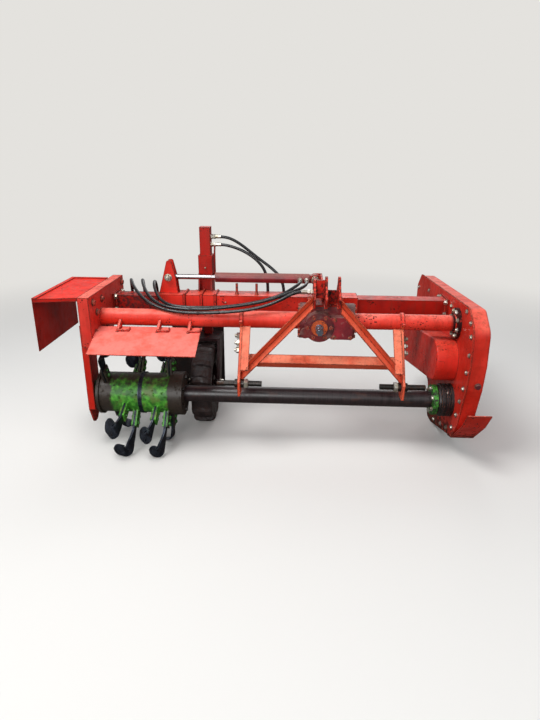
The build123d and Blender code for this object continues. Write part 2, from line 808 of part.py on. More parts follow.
# Rear drive housing on the inner face: two rounds and their common tangents
with BuildPart() as rear_drive:
    with BuildSketch(across(drive_x)):
        for y, z, r in (drive_front, drive_rear):
            with Locations((y, z)):
                Circle(r)
        make_hull()
    extrude(amount=case_x - drive_x)
    fillet(rear_drive.faces().sort_by(Axis.X)[0].edges(), drive_edge_r)
save(rear_drive, "rear_drive")

with BuildPart() as seal_housing:
    add(bar_x(case_x - seal_t, case_x, 0, shaft_z, seal_od, stub_od + 2 * run_gap))
save(seal_housing, "seal_housing")

# Shift cylinder: barrel on the anchor, rod on the carriage
with BuildPart() as shift_barrel:
    add(bar_x(barrel_left_x, barrel_right_x, beam_y, cylinder_z, barrel_od))
    add(bar_x(
        barrel_left_x + barrel_head, barrel_right_x - barrel_head, beam_y, cylinder_z, barrel_id,
    ), mode=Mode.SUBTRACT)
    add(bar_x(
        barrel_left_x, barrel_left_x + barrel_head, beam_y, cylinder_z, 2 * (rod_r + run_gap),
    ), mode=Mode.SUBTRACT)
    with BuildSketch(Plane.XZ.offset(-beam_y - eye_width / 2)):
        with Locations((anchor_pin_x, cylinder_z)):
            Circle(eye_r)
        with Locations((anchor_pin_x, cylinder_z)):
            Rectangle(anchor_pin_x - barrel_right_x, barrel_id, align=(Align.MAX, Align.CENTER))
    extrude(amount=eye_width)
    with BuildSketch(Plane.XZ.offset(-beam_y - eye_width / 2)):
        with Locations((anchor_pin_x, cylinder_z)):
            Circle(rod_pin_r + seat_gap)
    extrude(amount=eye_width, mode=Mode.SUBTRACT)
save(shift_barrel, "shift_barrel")

# Hose ports: two on the barrel and one on the side plate of the mast
with BuildPart() as hose_ports:
    with BuildSketch(Plane.XZ.offset(-beam_y)):
        with Locations(*[(x, cylinder_z) for x in port_xs]):
            Circle(port_r)
    extrude(amount=barrel_od / 2 + port_length)
    add(bar_x(barrel_left_x, barrel_right_x, beam_y, cylinder_z, barrel_od), mode=Mode.SUBTRACT)
    add(bar_x(mast_side_x - port_length, mast_side_x, supply_y, supply_z, 2 * port_r))
save(hose_ports, "hose_ports")

with BuildPart() as shift_rod:
    add(bar_x(rod_pin_x, rod_end_x, beam_y, cylinder_z, 2 * rod_r))
    add(bar_x(rod_end_x, rod_end_x + piston_length, beam_y, cylinder_z, barrel_id - 2 * run_gap))
    with BuildSketch(Plane.XZ.offset(-beam_y - eye_width / 2)):
        with Locations((rod_pin_x, cylinder_z)):
            Circle(eye_r)
    extrude(amount=eye_width)
    with BuildSketch(Plane.XZ.offset(-beam_y - eye_width / 2)):
        with Locations((rod_pin_x, cylinder_z)):
            Circle(rod_pin_r + seat_gap)
    extrude(amount=eye_width, mode=Mode.SUBTRACT)
save(shift_rod, "shift_rod")

with BuildPart() as rod_bracket:
    for y in (beam_y - lug_y, beam_y + lug_y + ear_t):
        with BuildSketch(Plane.XZ.offset(-y)) as ear:
            with BuildLine():
                Polyline(
                    (rod_pin_x - 55, sleeve_top_z), (rod_pin_x + 51, sleeve_top_z),
                    (rod_pin_x + 42, cylinder_z), (rod_pin_x + 20, bracket_top_z),
                    (rod_pin_x - 5, bracket_top_z), close=True,
                )
            make_face()
            fillet(ear.vertices().group_by(Axis.Y)[-1], 10)
        extrude(amount=ear_t)
    with BuildSketch(Plane.XZ.offset(-(beam_y + lug_y + ear_t))):
        with Locations((rod_pin_x, cylinder_z)):
            Circle(rod_pin_r)
    extrude(amount=2 * (lug_y + ear_t))
save(rod_bracket, "rod_bracket")

# Wheel post: a square post clamped behind the carriage, with the wheel's leg inside it
fork_top_z = 2 * wheel_r + tyre_clear + fork_t
post_low_z = fork_top_z + lift_up + lift_clear
clamp_size = post_size + 2 * (seat_gap + clamp_wall)
sleeve_back_y = beam_y + sleeve_depth / 2
with BuildPart() as post_clamp:
    with BuildSketch(Plane.XY.offset(clamp_low_z)):
        with Locations((post_x, post_y)):
            Rectangle(clamp_size, clamp_size)
            Rectangle(post_size + 2 * seat_gap, post_size + 2 * seat_gap, mode=Mode.SUBTRACT)
    extrude(amount=clamp_top_z - clamp_low_z)
    with BuildSketch(Plane.XY.offset(clamp_low_z)):
        with Locations((post_x, sleeve_back_y)):
            Rectangle(
                clamp_size + 2 * clamp_flange, post_y - clamp_size / 2 - sleeve_back_y,
                align=(Align.CENTER, Align.MIN),
            )
    extrude(amount=sleeve_top_z - clamp_low_z)
save(post_clamp, "post_clamp")

with BuildPart() as post_gussets:
    for x in (post_x - clamp_size / 2, post_x + clamp_size / 2 - ear_t):
        with BuildSketch(across(x)):
            with BuildLine():
                Polyline(
                    (beam_y + eye_width, sleeve_top_z), (post_y - clamp_size / 2, sleeve_top_z),
                    (post_y - clamp_size / 2, gusset_top_z), (post_y - clamp_size / 2 - ear_t, gusset_top_z),
                    close=True,
                )
            make_face()
        extrude(amount=ear_t)
save(post_gussets, "post_gussets")

with BuildPart() as wheel_post:
    with BuildSketch(Plane.XY.offset(post_low_z)):
        with Locations((post_x, post_y)):
            Rectangle(post_size, post_size)
            Rectangle(post_size - 2 * post_wall, post_size - 2 * post_wall, mode=Mode.SUBTRACT)
    extrude(amount=post_top_z - post_low_z)
    with BuildSketch(Plane.XY.offset(post_top_z)):
        with Locations((post_x, post_y)):
            Rectangle(post_size, post_size)
    extrude(amount=-post_wall)
save(wheel_post, "wheel_post")

leg_size = post_size - 2 * (post_wall + leg_gap)
with BuildPart() as wheel_leg:
    with BuildSketch(Plane.XY.offset(fork_top_z)):
        with Locations((post_x, post_y)):
            Rectangle(leg_size, leg_size)
            Rectangle(leg_size - 2 * leg_wall, leg_size - 2 * leg_wall, mode=Mode.SUBTRACT)
    extrude(amount=leg_length)
save(wheel_leg, "wheel_leg")

fork_left_x = wheel_x - wheel_width / 2 - fork_gap - fork_t
fork_right_x = wheel_x + wheel_width / 2 + fork_gap
fork_back_y = post_y + fork_width / 2
with BuildPart() as fork_arm:
    with BuildSketch(Plane.XY.offset(fork_top_z - fork_t)):
        with Locations((fork_left_x, fork_front_y)):
            Rectangle(
                fork_right_x + fork_t - fork_left_x, fork_back_y - fork_front_y,
                align=(Align.MIN, Align.MIN),
            )
    extrude(amount=fork_t)
    for x in (fork_left_x, fork_right_x):
        with BuildSketch(across(x)):
            with BuildLine():
                Polyline(
                    (fork_front_y, fork_top_z), (fork_back_y, fork_top_z),
                    (wheel_y + hub_r, wheel_r), (wheel_y - hub_r, wheel_r), close=True,
                )
            make_face()
            with Locations((wheel_y, wheel_r)):
                Circle(hub_r)
        extrude(amount=fork_t)
    add(bar_x(fork_left_x, fork_right_x, wheel_y, wheel_r, 2 * axle_r))
save(fork_arm, "fork_arm")

# Gauge wheel: tyre with cross lugs, rim with disc and hub
with BuildPart() as wheel_tyre:
    body_r = wheel_r - tread_lug_height
    with BuildSketch(Plane.XZ) as section:
        with Locations((0, (body_r + rim_r) / 2)):
            Rectangle(wheel_width - 8, body_r - rim_r)
        fillet(section.vertices().group_by(Axis.Y)[-1], 26)
    revolve(axis=Axis.X)
    with BuildSketch(Plane.XY.offset(body_r - 20)):
        Rectangle(wheel_width, tread_lug_t)
    bar = extrude(amount=wheel_r - body_r + 20, mode=Mode.PRIVATE)
    for k in range(lug_count):
        add(bar.moved(Location((0, 0, 0), (360 * k / lug_count + 180 / lug_count, 0, 0))))
    wheel_tyre.part = wheel_tyre.part.moved(Location((wheel_x, wheel_y, wheel_r)))
save(wheel_tyre, "wheel_tyre")

with BuildPart() as wheel_rim:
    half = wheel_width / 2 - 14
    add(bar_x(wheel_x - half, wheel_x + half, wheel_y, wheel_r, 2 * rim_r, 2 * (rim_r - rim_t)))
    add(bar_x(wheel_x - rim_t / 2, wheel_x + rim_t / 2, wheel_y, wheel_r, 2 * rim_r))
    add(bar_x(wheel_x - half - 6, wheel_x + half, wheel_y, wheel_r, 2 * hub_r))
    add(bar_x(
        wheel_x - wheel_width, wheel_x + wheel_width, wheel_y, wheel_r, 2 * (axle_r + run_gap),
    ), mode=Mode.SUBTRACT)
save(wheel_rim, "wheel_rim")

# Fittings of the lift hoses: two on the post and two elbows behind the carriage sleeve
with BuildPart() as lift_fittings:
    for z in lift_port_zs:
        add(bar_x(post_x + post_size / 2, lift_x, post_y, z, 2 * port_r))
    with BuildSketch(Plane.XY.offset(elbow_z)):
        with Locations(*[(x, elbow_y) for x in elbow_xs]):
            Circle(port_r)
    extrude(amount=-elbow_length)
    with BuildSketch(Plane.XY.offset(elbow_z - elbow_length)):
        with Locations(*[(x, sleeve_back_y) for x in elbow_xs]):
            Rectangle(2 * port_r, elbow_y - sleeve_back_y, align=(Align.CENTER, Align.MIN))
    extrude(amount=elbow_arm)
save(lift_fittings, "lift_fittings")


def hose(label, points):
    """Round tube along straight runs that are joined by arcs as large as the runs allow."""
    runs = [Vector(*b) - Vector(*a) for a, b in zip(points, points[1:])]
    radii = [
        0.45 * min(a.length, b.length) / math.tan(math.radians(a.get_angle(b)) / 2)
        for a, b in zip(runs, runs[1:])
    ]
    with BuildPart() as tube:
        with BuildLine() as route:
            FilletPolyline(*points, radius=radii)
        path = route.wires()[0]
        with BuildSketch(Plane(origin=path @ 0, z_dir=path % 0)):
            Circle(hose_od / 2)
        sweep(path=path)
    fill = tube.part.volume / (math.pi * hose_od ** 2 / 4 * path.length)
    print(f"{label} length {path.length:.0f} tightest radius {min(radii):.0f} volume ratio {fill:.4f}")
    save(tube, label)


for label, points in hose_routes.items():
    hose(label, points)

# Couplers on the ends that hang behind the beam
with BuildPart() as hose_couplers:
    for label in hung_ends:
        last, end = Vector(*hose_routes[label][-2]), Vector(*hose_routes[label][-1])
        with BuildSketch(Plane(origin=end, z_dir=end - last)):
            Circle(coupler_r)
        extrude(amount=coupler_length)
save(hose_couplers, "hose_couplers")

# The part stands on the middle of its outline
boxes = [piece.bounding_box() for piece in pieces]
middle_x = (min(box.min.X for box in boxes) + max(box.max.X for box in boxes)) / 2
middle_y = (min(box.min.Y for box in boxes) + max(box.max.Y for box in boxes)) / 2
print(f"middle of the outline {middle_x:.2f} {middle_y:.2f}")
for piece in pieces:
    placed = piece.moved(Location((-middle_x, -middle_y, 0)))
    placed.label = piece.label
    export_step(placed, f"parts/{piece.label}.step")
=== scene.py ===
import math

import bmesh
import bpy
import numpy as np
from mathutils import Matrix, Vector


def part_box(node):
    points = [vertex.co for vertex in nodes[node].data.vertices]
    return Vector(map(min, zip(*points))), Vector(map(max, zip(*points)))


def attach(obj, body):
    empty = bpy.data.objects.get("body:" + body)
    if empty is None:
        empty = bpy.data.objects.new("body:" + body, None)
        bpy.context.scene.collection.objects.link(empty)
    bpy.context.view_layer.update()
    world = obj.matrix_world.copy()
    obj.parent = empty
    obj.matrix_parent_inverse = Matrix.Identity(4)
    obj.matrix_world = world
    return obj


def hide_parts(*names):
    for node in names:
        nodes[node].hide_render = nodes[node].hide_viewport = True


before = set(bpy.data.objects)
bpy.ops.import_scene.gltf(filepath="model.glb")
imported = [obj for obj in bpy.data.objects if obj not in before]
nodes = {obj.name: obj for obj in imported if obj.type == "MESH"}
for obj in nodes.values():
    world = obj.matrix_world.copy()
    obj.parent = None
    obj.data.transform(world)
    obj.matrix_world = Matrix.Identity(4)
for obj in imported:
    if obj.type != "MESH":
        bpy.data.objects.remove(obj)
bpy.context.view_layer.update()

# Places below are written in the drawing's own metres: X from the same zero as the
# CAD, Y from the rotor axis, Z from the floor. zero carries them into the frame.
tubeStart = -0.890
zero = Vector((
    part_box("left_tube")[0].x - tubeStart,
    sum(corner.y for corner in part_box("rotor_bearing")) / 2,
    0,
))
rotorAxis = (0.0, 0.288)       # Y and Z of the lines that the round pieces turn about
tubeAxis = (0.048, 0.698)
wheelAxis = (0.292, 0.235)
beamAxis = (0.305, 0.722)
toLeft, toRight, toFront, toBack, toTop = (-1, 0, 0), (1, 0, 0), (0, -1, 0), (0, 1, 0), (0, 0, 1)


def at(x, y, z):
    return Vector((x, y, z)) + zero


def placed(verts):
    # drawing metres to the frame, for an array of points
    return verts + np.array(zero)


def addObject(name, data):
    thing = bpy.data.objects.new(name, data)
    bpy.context.scene.collection.objects.link(thing)
    return thing


# Camera: where the photographer stood, looking down at the machine
view = {
    "spot": (0.1176, -2.6604, 1.486),
    "yaw": 2.530,
    "pitch": 20.494,
    "roll": 0.435,
    "lens": 27.0,
    "sensor": 36,
}


def makeCamera():
    # forward, right and down are turned about Z by yaw, tipped down by pitch, then rolled in the picture
    yaw, pitch, roll = (math.radians(view[k]) for k in ("yaw", "pitch", "roll"))
    level = Vector((-math.sin(yaw), math.cos(yaw), 0))
    right = Vector((math.cos(yaw), math.sin(yaw), 0))
    forward = level * math.cos(pitch) - Vector((0, 0, math.sin(pitch)))
    down = -level * math.sin(pitch) - Vector((0, 0, math.cos(pitch)))
    rolledRight = right * math.cos(roll) - down * math.sin(roll)
    rolledDown = right * math.sin(roll) + down * math.cos(roll)
    turn = Matrix((rolledRight, -rolledDown, -forward)).transposed().to_4x4()
    lensData = bpy.data.cameras.new("camera")
    lensData.lens = view["lens"]
    lensData.sensor_width = view["sensor"]
    camera = addObject("camera", lensData)
    camera.matrix_world = Matrix.Translation(at(*view["spot"])) @ turn
    bpy.context.scene.camera = camera


makeCamera()


def hexToLinear(code):
    # sRGB hex to linear light: x / 12.92 low down, ((x + 0.055) / 1.055) ** 2.4 above
    parts = [int(code[k:k + 2], 16) / 255 for k in (1, 3, 5)]
    return tuple(p / 12.92 if p <= 0.04045 else ((p + 0.055) / 1.055) ** 2.4 for p in parts) + (1,)


def addNode(tree, kind, inputs=(), output=0, **settings):
    # one shader node; an input, in order or by name, gets a value, a hex colour or another node's output
    node = tree.nodes.new("ShaderNode" + kind)
    for name, value in settings.items():
        setattr(node, name, value)
    for socket, value in (inputs if isinstance(inputs, dict) else dict(enumerate(inputs))).items():
        if isinstance(value, bpy.types.NodeSocket):
            tree.links.new(value, node.inputs[socket])
        else:
            node.inputs[socket].default_value = hexToLinear(value) if isinstance(value, str) else value
    return node.outputs[output] if node.outputs else None


# settings that many nodes share
smooth = {"interpolation_type": "SMOOTHSTEP"}
times, larger, smaller = ({"operation": word} for word in ("MULTIPLY", "MAXIMUM", "MINIMUM"))
plus, minus = ({"operation": word, "use_clamp": True} for word in ("ADD", "SUBTRACT"))


class Finish:
    # one material, whose constant inputs come in by name; its methods draw what lies on the surface

    def __init__(self, name, **fixed):
        self.material = bpy.data.materials.new(name)
        self.material.use_nodes = True
        self.tree = self.material.node_tree
        self.tree.nodes.clear()
        self.shader = self.add("BsdfPrincipled", {k.replace("_", " "): v for k, v in fixed.items()})
        self.place = self.add("TexCoord", output="Object")

    def add(self, kind, inputs=(), output=0, **settings):
        return addNode(self.tree, kind, inputs, output, **settings)

    def grain(self, sizeMm, detail=3, rough=0.55, stretch=None):
        # noise whose blobs are about sizeMm across, 0 to 1; stretch lengthens it along X, Y or Z
        place = self.place
        if stretch:
            place = self.add("Mapping", {"Vector": place, "Scale": tuple(1 / s for s in stretch)})
        return self.add("TexNoise", {
            "Vector": place, "Scale": 1000 / sizeMm, "Detail": detail, "Roughness": rough,
        })

    def patches(self, sizeMm, detail, low, high, to=(0, 1), rough=0.55, stretch=None):
        # the same noise, eased from to[0] where it is under low to to[1] where it is over high
        noise = self.grain(sizeMm, detail, rough, stretch)
        return self.add("MapRange", (noise, low, high, *to), **smooth)

    def between(self, axis, low, high, to=(0, 1)):
        # eased from to[0] at low to to[1] at high along an axis, in metres
        along = self.add("SeparateXYZ", (self.place,), axis)
        return self.add("MapRange", (along, low, high, *to), **smooth)

    def upward(self, low, high):
        # 1 on a face that looks at the sky, 0 on a wall, from the normal's Z
        rise = self.add("SeparateXYZ", (self.add("NewGeometry", output="Normal"),), "Z")
        return self.add("MapRange", (rise, low, high), **smooth)

    def edgeWear(self, radiusMm):
        # how far the rounded normal turns from the flat one: 0 in the open, up to 0.3 on an edge
        rounded = self.add("Bevel", {"Radius": radiusMm / 1000}, samples=4)
        flat = self.add("NewGeometry", output="Normal")
        same = self.add("VectorMath", (rounded, flat), "Value", operation="DOT_PRODUCT")
        return self.add("Math", (1.0, same), **minus)

    def coat(self, under, over, where, *factors):
        # one colour laid over another where a mask is 1; further masks and strengths multiply it
        for factor in factors:
            where = self.add("Math", (where, factor), **times)
        return self.add("Mix", {0: where, 6: under, 7: over}, 2, data_type="RGBA")

    def done(self, colour, rough, bumps=()):
        # rough is a socket, or a mask with the roughness where it is 0 and where it is 1;
        # bumps are heights, each with its depth in millimetres, stacked on one another
        sockets = self.shader.node.inputs
        if isinstance(rough, tuple):
            mask, *ends = rough
            rough = self.add("MapRange", (mask, 0, 1, *ends), **smooth)
        self.tree.links.new(colour, sockets["Base Color"])
        self.tree.links.new(rough, sockets["Roughness"])
        normal = None
        for height, depthMm in bumps:
            links = {"Height": height, "Strength": 1.0, "Distance": depthMm / 1000}
            normal = self.add("Bump", dict(links, Normal=normal) if normal else links)
        if normal:
            self.tree.links.new(normal, sockets["Normal"])
        self.add("OutputMaterial", (self.shader,))
        return self.material


# Alkyd enamel sprayed on hot-rolled steel: even colour, orange-peel gloss, chips to rust
# on the edges, rust specks where the film broke; paler on up-facing faces, partly sun-faded chalk and partly a
# painted reflection of the sky.
enamelLook = {
    "frame": dict(deep="#bc2012", main="#de3226", fadedAndSkyLit="#ea503e", chip=1.45, specks=0.50, dirt=0.28),
    "plate": dict(deep="#cc3228", main="#e6483c", fadedAndSkyLit="#f4705e", chip=1.90, specks=0.62, dirt=0.32),
    "bar": dict(deep="#d84e30", main="#ea6244", fadedAndSkyLit="#f89474", chip=1.25, specks=0.44, dirt=0.26),
    "tube": dict(deep="#cc2c1c", main="#ee4638", fadedAndSkyLit="#f67666", chip=1.00, specks=0.50, dirt=0.20),
    "cover": dict(deep="#d84a36", main="#e85a48", fadedAndSkyLit="#f47c70", chip=0.55, specks=0.10, dirt=0.10),
    "hood": dict(deep="#8c0f07", main="#c81a0b", fadedAndSkyLit="#ea2a16", chip=1.40, specks=0.42, dirt=0.20),
    "post": dict(deep="#7e0f09", main="#aa1a10", fadedAndSkyLit="#c62e1e", chip=1.30, specks=0.36, dirt=0.38),
    "case": dict(deep="#b82416", main="#e0382a", fadedAndSkyLit="#f26a58", chip=1.25, specks=0.44, dirt=0.28),
}
rustCell = 14                  # millimetres between the places where a rust speck may lie


def sprayedEnamel(name, look, grime=None):
    # grime is (low X, high X, how much, colour) where old grease or mud lies on the paint
    f = Finish(name, Roughness=0.4, IOR=1.45, Specular_IOR_Level=0.22)
    specks = look["specks"]
    colour = f.coat(look["deep"], look["main"], f.patches(240, 4, 0.35, 0.65))
    # up-facing faces turn paler: partly chalk from the sun, partly a painted reflection of the sky
    up = f.upward(0.25, 0.95)
    colour = f.coat(colour, look["fadedAndSkyLit"], up, f.patches(110, 5, 0.25, 0.62, rough=0.65))
    # dust and rain runs, drawn out down the walls
    runs = f.patches(13, 4, 0.42, 0.8, rough=0.6, stretch=(1, 1, 9))
    colour = f.coat(colour, "#5c2c20", runs, look["dirt"])
    # brown dirt that settles on ledges
    settled = f.patches(34, 6, 0.50, 0.66, rough=0.72)
    colour = f.coat(colour, "#6e3a28", up, settled, look["dirt"] * 1.9)
    # scratches along X in patches, drawn 2 mm across so that they show
    scratch = f.patches(2.2, 2, 0.68, 0.74, rough=0.5, stretch=(45, 1, 3))
    colour = f.coat(colour, "#4c1d14", scratch, f.patches(90, 2, 0.50, 0.60))
    # rust specks of 2 to 8 mm, thick in some places, with finer ones between them
    cell = f.add("TexVoronoi", {"Vector": f.place, "Scale": 1000 / rustCell}, "Distance")
    reach = f.patches(130, 3, 0.72 - specks * 0.5, 0.82 - specks * 0.3, (0.0, 0.30))
    speck = f.add("Math", (cell, reach), operation="LESS_THAN")
    fine = f.patches(5.5, 3, 0.76 - specks * 0.22, 0.80 - specks * 0.20, rough=0.6)
    pepper = f.add("Math", (fine, f.patches(75, 4, 0.40, 0.62, rough=0.6)), **times)
    colour = f.coat(colour, "#38140f", f.add("Math", (speck, pepper), **larger))
    # chipped edges: bare rusting steel under a ragged line, with a thin dark line along every edge
    flakes = f.patches(15, 5, 0.42, 0.60, (0.6, 8), 0.75)
    ragged = f.add("Math", (f.edgeWear(8), flakes), **times)
    worn = f.add("Math", (ragged, look["chip"]), **times)
    chip = f.add("MapRange", (worn, 0.14, 0.26), **smooth)
    colour = f.coat(colour, f.coat("#1e0f0c", "#553024", f.grain(5, 3)), chip)
    # mud splashed up from the floor
    low = f.between("Z", 0.02, 0.38, (0.50, 0.0))
    wetMud = f.add("Math", (f.grain(22, 5, 0.7), low), **plus)
    splash = f.add("MapRange", (wetMud, 0.78, 0.98), **smooth)
    colour = f.coat(colour, "#4a2c22", splash)
    if grime:
        lowX, highX, amount, tint = grime
        begins = f.between("X", lowX - 0.01, lowX + 0.01)
        ends = f.between("X", highX - 0.01, highX + 0.01, (1, 0))
        inside = f.add("Math", (begins, ends), **smaller)
        greased = f.patches(17, 6, 0.66 - 0.4 * amount, 0.80 - 0.36 * amount, rough=0.7)
        colour = f.coat(colour, tint, inside, greased)
    wet = f.patches(35, 4, 0.3, 0.7, (0.30, 0.48))
    dull = f.add("Math", (f.add("Math", (chip, splash), **larger), 0.4), **times)
    lost = f.add("Math", (chip, speck), **larger)
    film = f.add("Math", (1.0, lost), **minus)
    return f.done(colour, f.add("Math", (wet, dull), **plus), [
        (f.grain(4, 2), 0.10),     # orange peel of the spray
        (film, 0.35),
    ])


# Grey iron cast in sand, brushed over with machine enamel, greasy and dusted:
# a pebbled skin of about 3 mm, soft gloss, brown grime on top and in the hollows.
def sandCastEnamel(name, deep, main, grime, grimeAmount):
    f = Finish(name, Roughness=0.45, IOR=1.5, Coat_Weight=0.15, Coat_Roughness=0.3)
    colour = f.coat(deep, main, f.patches(90, 4, 0.35, 0.65))
    greased = f.patches(38, 5, 0.62 - grimeAmount * 0.35, 0.72, rough=0.65)
    onTop = f.add("Math", (f.upward(0.1, 0.9), 0.72), **times)
    dust = f.add("Math", (onTop, greased), **plus)
    colour = f.coat(colour, grime, dust, 0.85)
    worn = f.add("Math", (f.edgeWear(3), f.patches(12, 3, 0.48, 0.6, (0, 6))), **times)
    chip = f.add("MapRange", (worn, 0.2, 0.3), **smooth)
    colour = f.coat(colour, "#8a5a42", chip)
    return f.done(colour, (dust, 0.38, 0.75), [(f.grain(3, 3, 0.6), 0.35), (greased, 0.5)])


# Green enamel on the rotor pipe, scoured by soil: it survives in patches between the ends, and towards the
# ends and the collar the pipe is bare dark steel with dried mud; the same dark steel over the top is painted
# shade.
drumPaint = {"start": -0.862, "collar": -0.540}


def scouredAndShadedDrumEnamel():
    f = Finish("scoured drum enamel", Roughness=0.5, IOR=1.5)
    start, collar = (at(drumPaint[k], 0, 0).x for k in ("start", "collar"))
    green = f.coat("#2b6c1d", "#5fb83a", f.patches(26, 5, 0.35, 0.7))
    green = f.coat(green, "#5f7a34", f.patches(60, 4, 0.50, 0.70))
    ends = f.add("Math", (
        f.between("X", start - 0.03, start + 0.06, (1, 0)), f.between("X", collar - 0.01, collar + 0.03),
    ), **larger)
    # the drum's top at rest, from Z 0.32 m up, is painted shade in the dark steel colour
    bareEndsAndShadedTop = f.add("Math", (ends, f.between("Z", 0.32, 0.40, (0, 0.42))), **larger)
    bareAndShaded = f.add("Math", (bareEndsAndShadedTop, f.grain(34, 6, 0.72)), **plus)
    bareAndShaded = f.add("MapRange", (bareAndShaded, 0.60, 0.96), **smooth)
    # dark steel on the bare patches and the ends, and as painted shade on the top
    colour = f.coat(green, f.coat("#17120f", "#40342a", f.grain(9, 4)), bareAndShaded)
    mud = f.patches(24, 6, 0.56, 0.66, rough=0.72)
    colour = f.coat(colour, "#43382a", mud, 0.7)
    return f.done(colour, (mud, 0.42, 0.9), [(f.grain(3, 3), 0.3), (mud, 2.0)])


# Bright green enamel brushed on cast brackets, scuffed to dark metal
def scuffedGreenEnamel():
    f = Finish("scuffed green enamel", Roughness=0.45, IOR=1.5)
    green = f.coat("#1f5c1a", "#4fae3a", f.patches(25, 4, 0.35, 0.7))
    dark = f.patches(16, 5, 0.46, 0.58, rough=0.7)
    return f.done(f.coat(green, "#1d1a18", dark), (dark, 0.4, 0.65), [(f.grain(3, 3), 0.3), (dark, 0.4)])


# Spring steel forged black, its edges ground grey by soil; its lighter blue-grey patches are partly painted
# sheen of wet steel
def forgedBladeSteel():
    f = Finish("forged blade steel", Metallic=0.75, Roughness=0.4)
    soil = f.patches(20, 4, 0.4, 0.7, (0, 0.2))
    ground = f.add("Math", (f.edgeWear(5), soil), **plus)
    wear = f.add("MapRange", (ground, 0.12, 0.34), **smooth)
    # black steel in patches of lighter blue-grey: partly the steel's own tone, partly painted sheen of wet
    # steel
    colour = f.coat("#181a21", "#3a404c", f.patches(30, 4, 0.3, 0.7))
    colour = f.coat(colour, "#646c78", wear)
    colour = f.coat(colour, "#4a2c20", f.patches(12, 4, 0.60, 0.70), 0.55)
    return f.done(colour, (wear, 0.48, 0.3), [(f.grain(2.5, 3), 0.25), (f.grain(14, 3), 0.6)])


# Drawn pipe with dark oily paint, rubbed in rings as it turns
def oilyPipePaint():
    f = Finish("oily pipe paint", Roughness=0.35, IOR=1.5, Coat_Weight=0.2, Coat_Roughness=0.25)
    ringed = (1, 12, 12)
    colour = f.coat("#140c0e", "#2c1d20", f.patches(6, 4, 0.3, 0.7, rough=0.6, stretch=ringed))
    rust = f.patches(45, 5, 0.56, 0.68, rough=0.65, stretch=(2.5, 1, 1))
    colour = f.coat(colour, "#40261f", rust, 0.7)
    rough = f.patches(6, 4, 0.3, 0.7, (0.28, 0.48), 0.6, ringed)
    return f.done(colour, rough, [(f.grain(3, 2), 0.12), (rust, 0.25)])


# Induction-hardened rod, hard chromed and ground: near mirror with faint rings and dried splashes
def groundChrome():
    f = Finish("ground chrome", Metallic=1.0, Roughness=0.1)
    spots = f.patches(12, 4, 0.58, 0.66)
    rings = f.patches(1.5, 2, 0.3, 0.7, (0.08, 0.18), 0.5, (1, 40, 40))
    dull = f.add("Math", (spots, 0.3), **times)
    rough = f.add("Math", (rings, dull), **plus)
    return f.done(f.coat("#8f8a8c", "#655c58", spots), rough)


# Rolled and forged fasteners, zinc plated and yellow passivated, dulled by weather
def yellowZinc():
    f = Finish("yellow zinc plate", Metallic=0.85, Roughness=0.35)
    rust = f.patches(6, 4, 0.58, 0.70)
    colour = f.coat("#a29a86", "#c9c6be", f.patches(25, 3, 0.35, 0.65))
    return f.done(f.coat(colour, "#6b4a30", rust, 0.6), (rust, 0.3, 0.6), [(f.grain(2, 2), 0.1)])


# Bolts painted over with the machine, worn through on the corners
def paintedBolt():
    f = Finish("painted over bolt", Metallic=0.2, Roughness=0.5)
    colour = f.coat("#a83a28", "#4a2a22", f.patches(9, 4, 0.45, 0.6))
    wear = f.add("MapRange", (f.edgeWear(1.5), 0.06, 0.22), **smooth)
    return f.done(f.coat(colour, "#b9ab8c", wear), (wear, 0.55, 0.35), [(f.grain(2.5, 2), 0.2)])


# Machined steel, turned and left bare: slightly oily, with fine rings and brown in the pores
def turnedSteel(name, low, high):
    f = Finish(name, Metallic=0.9, Roughness=0.35)
    ringed = (1, 30, 30)
    colour = f.coat(low, high, f.patches(1.6, 2, 0.3, 0.7, rough=0.5, stretch=ringed))
    rust = f.patches(18, 5, 0.52, 0.66)
    colour = f.coat(colour, "#4a2f22", rust, 0.7)
    return f.done(colour, (rust, 0.3, 0.6), [(f.grain(1.6, 2, 0.5, ringed), 0.05), (rust, 0.15)])


# Natural rubber tyre, moulded, black under a skin of brown paddy mud
def muddyTyreRubber():
    f = Finish("muddy tyre rubber", Roughness=0.7, IOR=1.5)
    mud = f.patches(55, 6, 0.40, 0.62, rough=0.68)
    crust = f.patches(17, 5, 0.60, 0.70, rough=0.75)
    colour = f.coat("#171314", "#2b2122", f.grain(30, 3))
    colour = f.coat(f.coat(colour, "#38241f", mud, 0.75), "#5f4636", crust, 0.6)
    return f.done(colour, (mud, 0.45, 0.85), [(f.grain(3, 4), 0.4), (crust, 1.4)])


# Synthetic hose cover, extruded and cloth-wrapped: black with faint weave marks and road dust
def hoseCover():
    f = Finish("wrapped hose cover", Roughness=0.3, IOR=1.52)
    dust = f.patches(40, 5, 0.5, 0.72)
    return f.done(f.coat("#08090d", "#34312e", dust, 0.12), (dust, 0.26, 0.6), [(f.grain(2.5, 2, 0.5), 0.12)])


# Nitrile seal under orange overspray, with an oily film round the shaft
def oilySeal():
    f = Finish("oversprayed seal", Roughness=0.4, IOR=1.5)
    oil = f.patches(12, 4, 0.54, 0.7)
    return f.done(f.coat("#cc5626", "#54221a", oil), (oil, 0.35, 0.6), [(f.grain(2.5, 3), 0.2)])


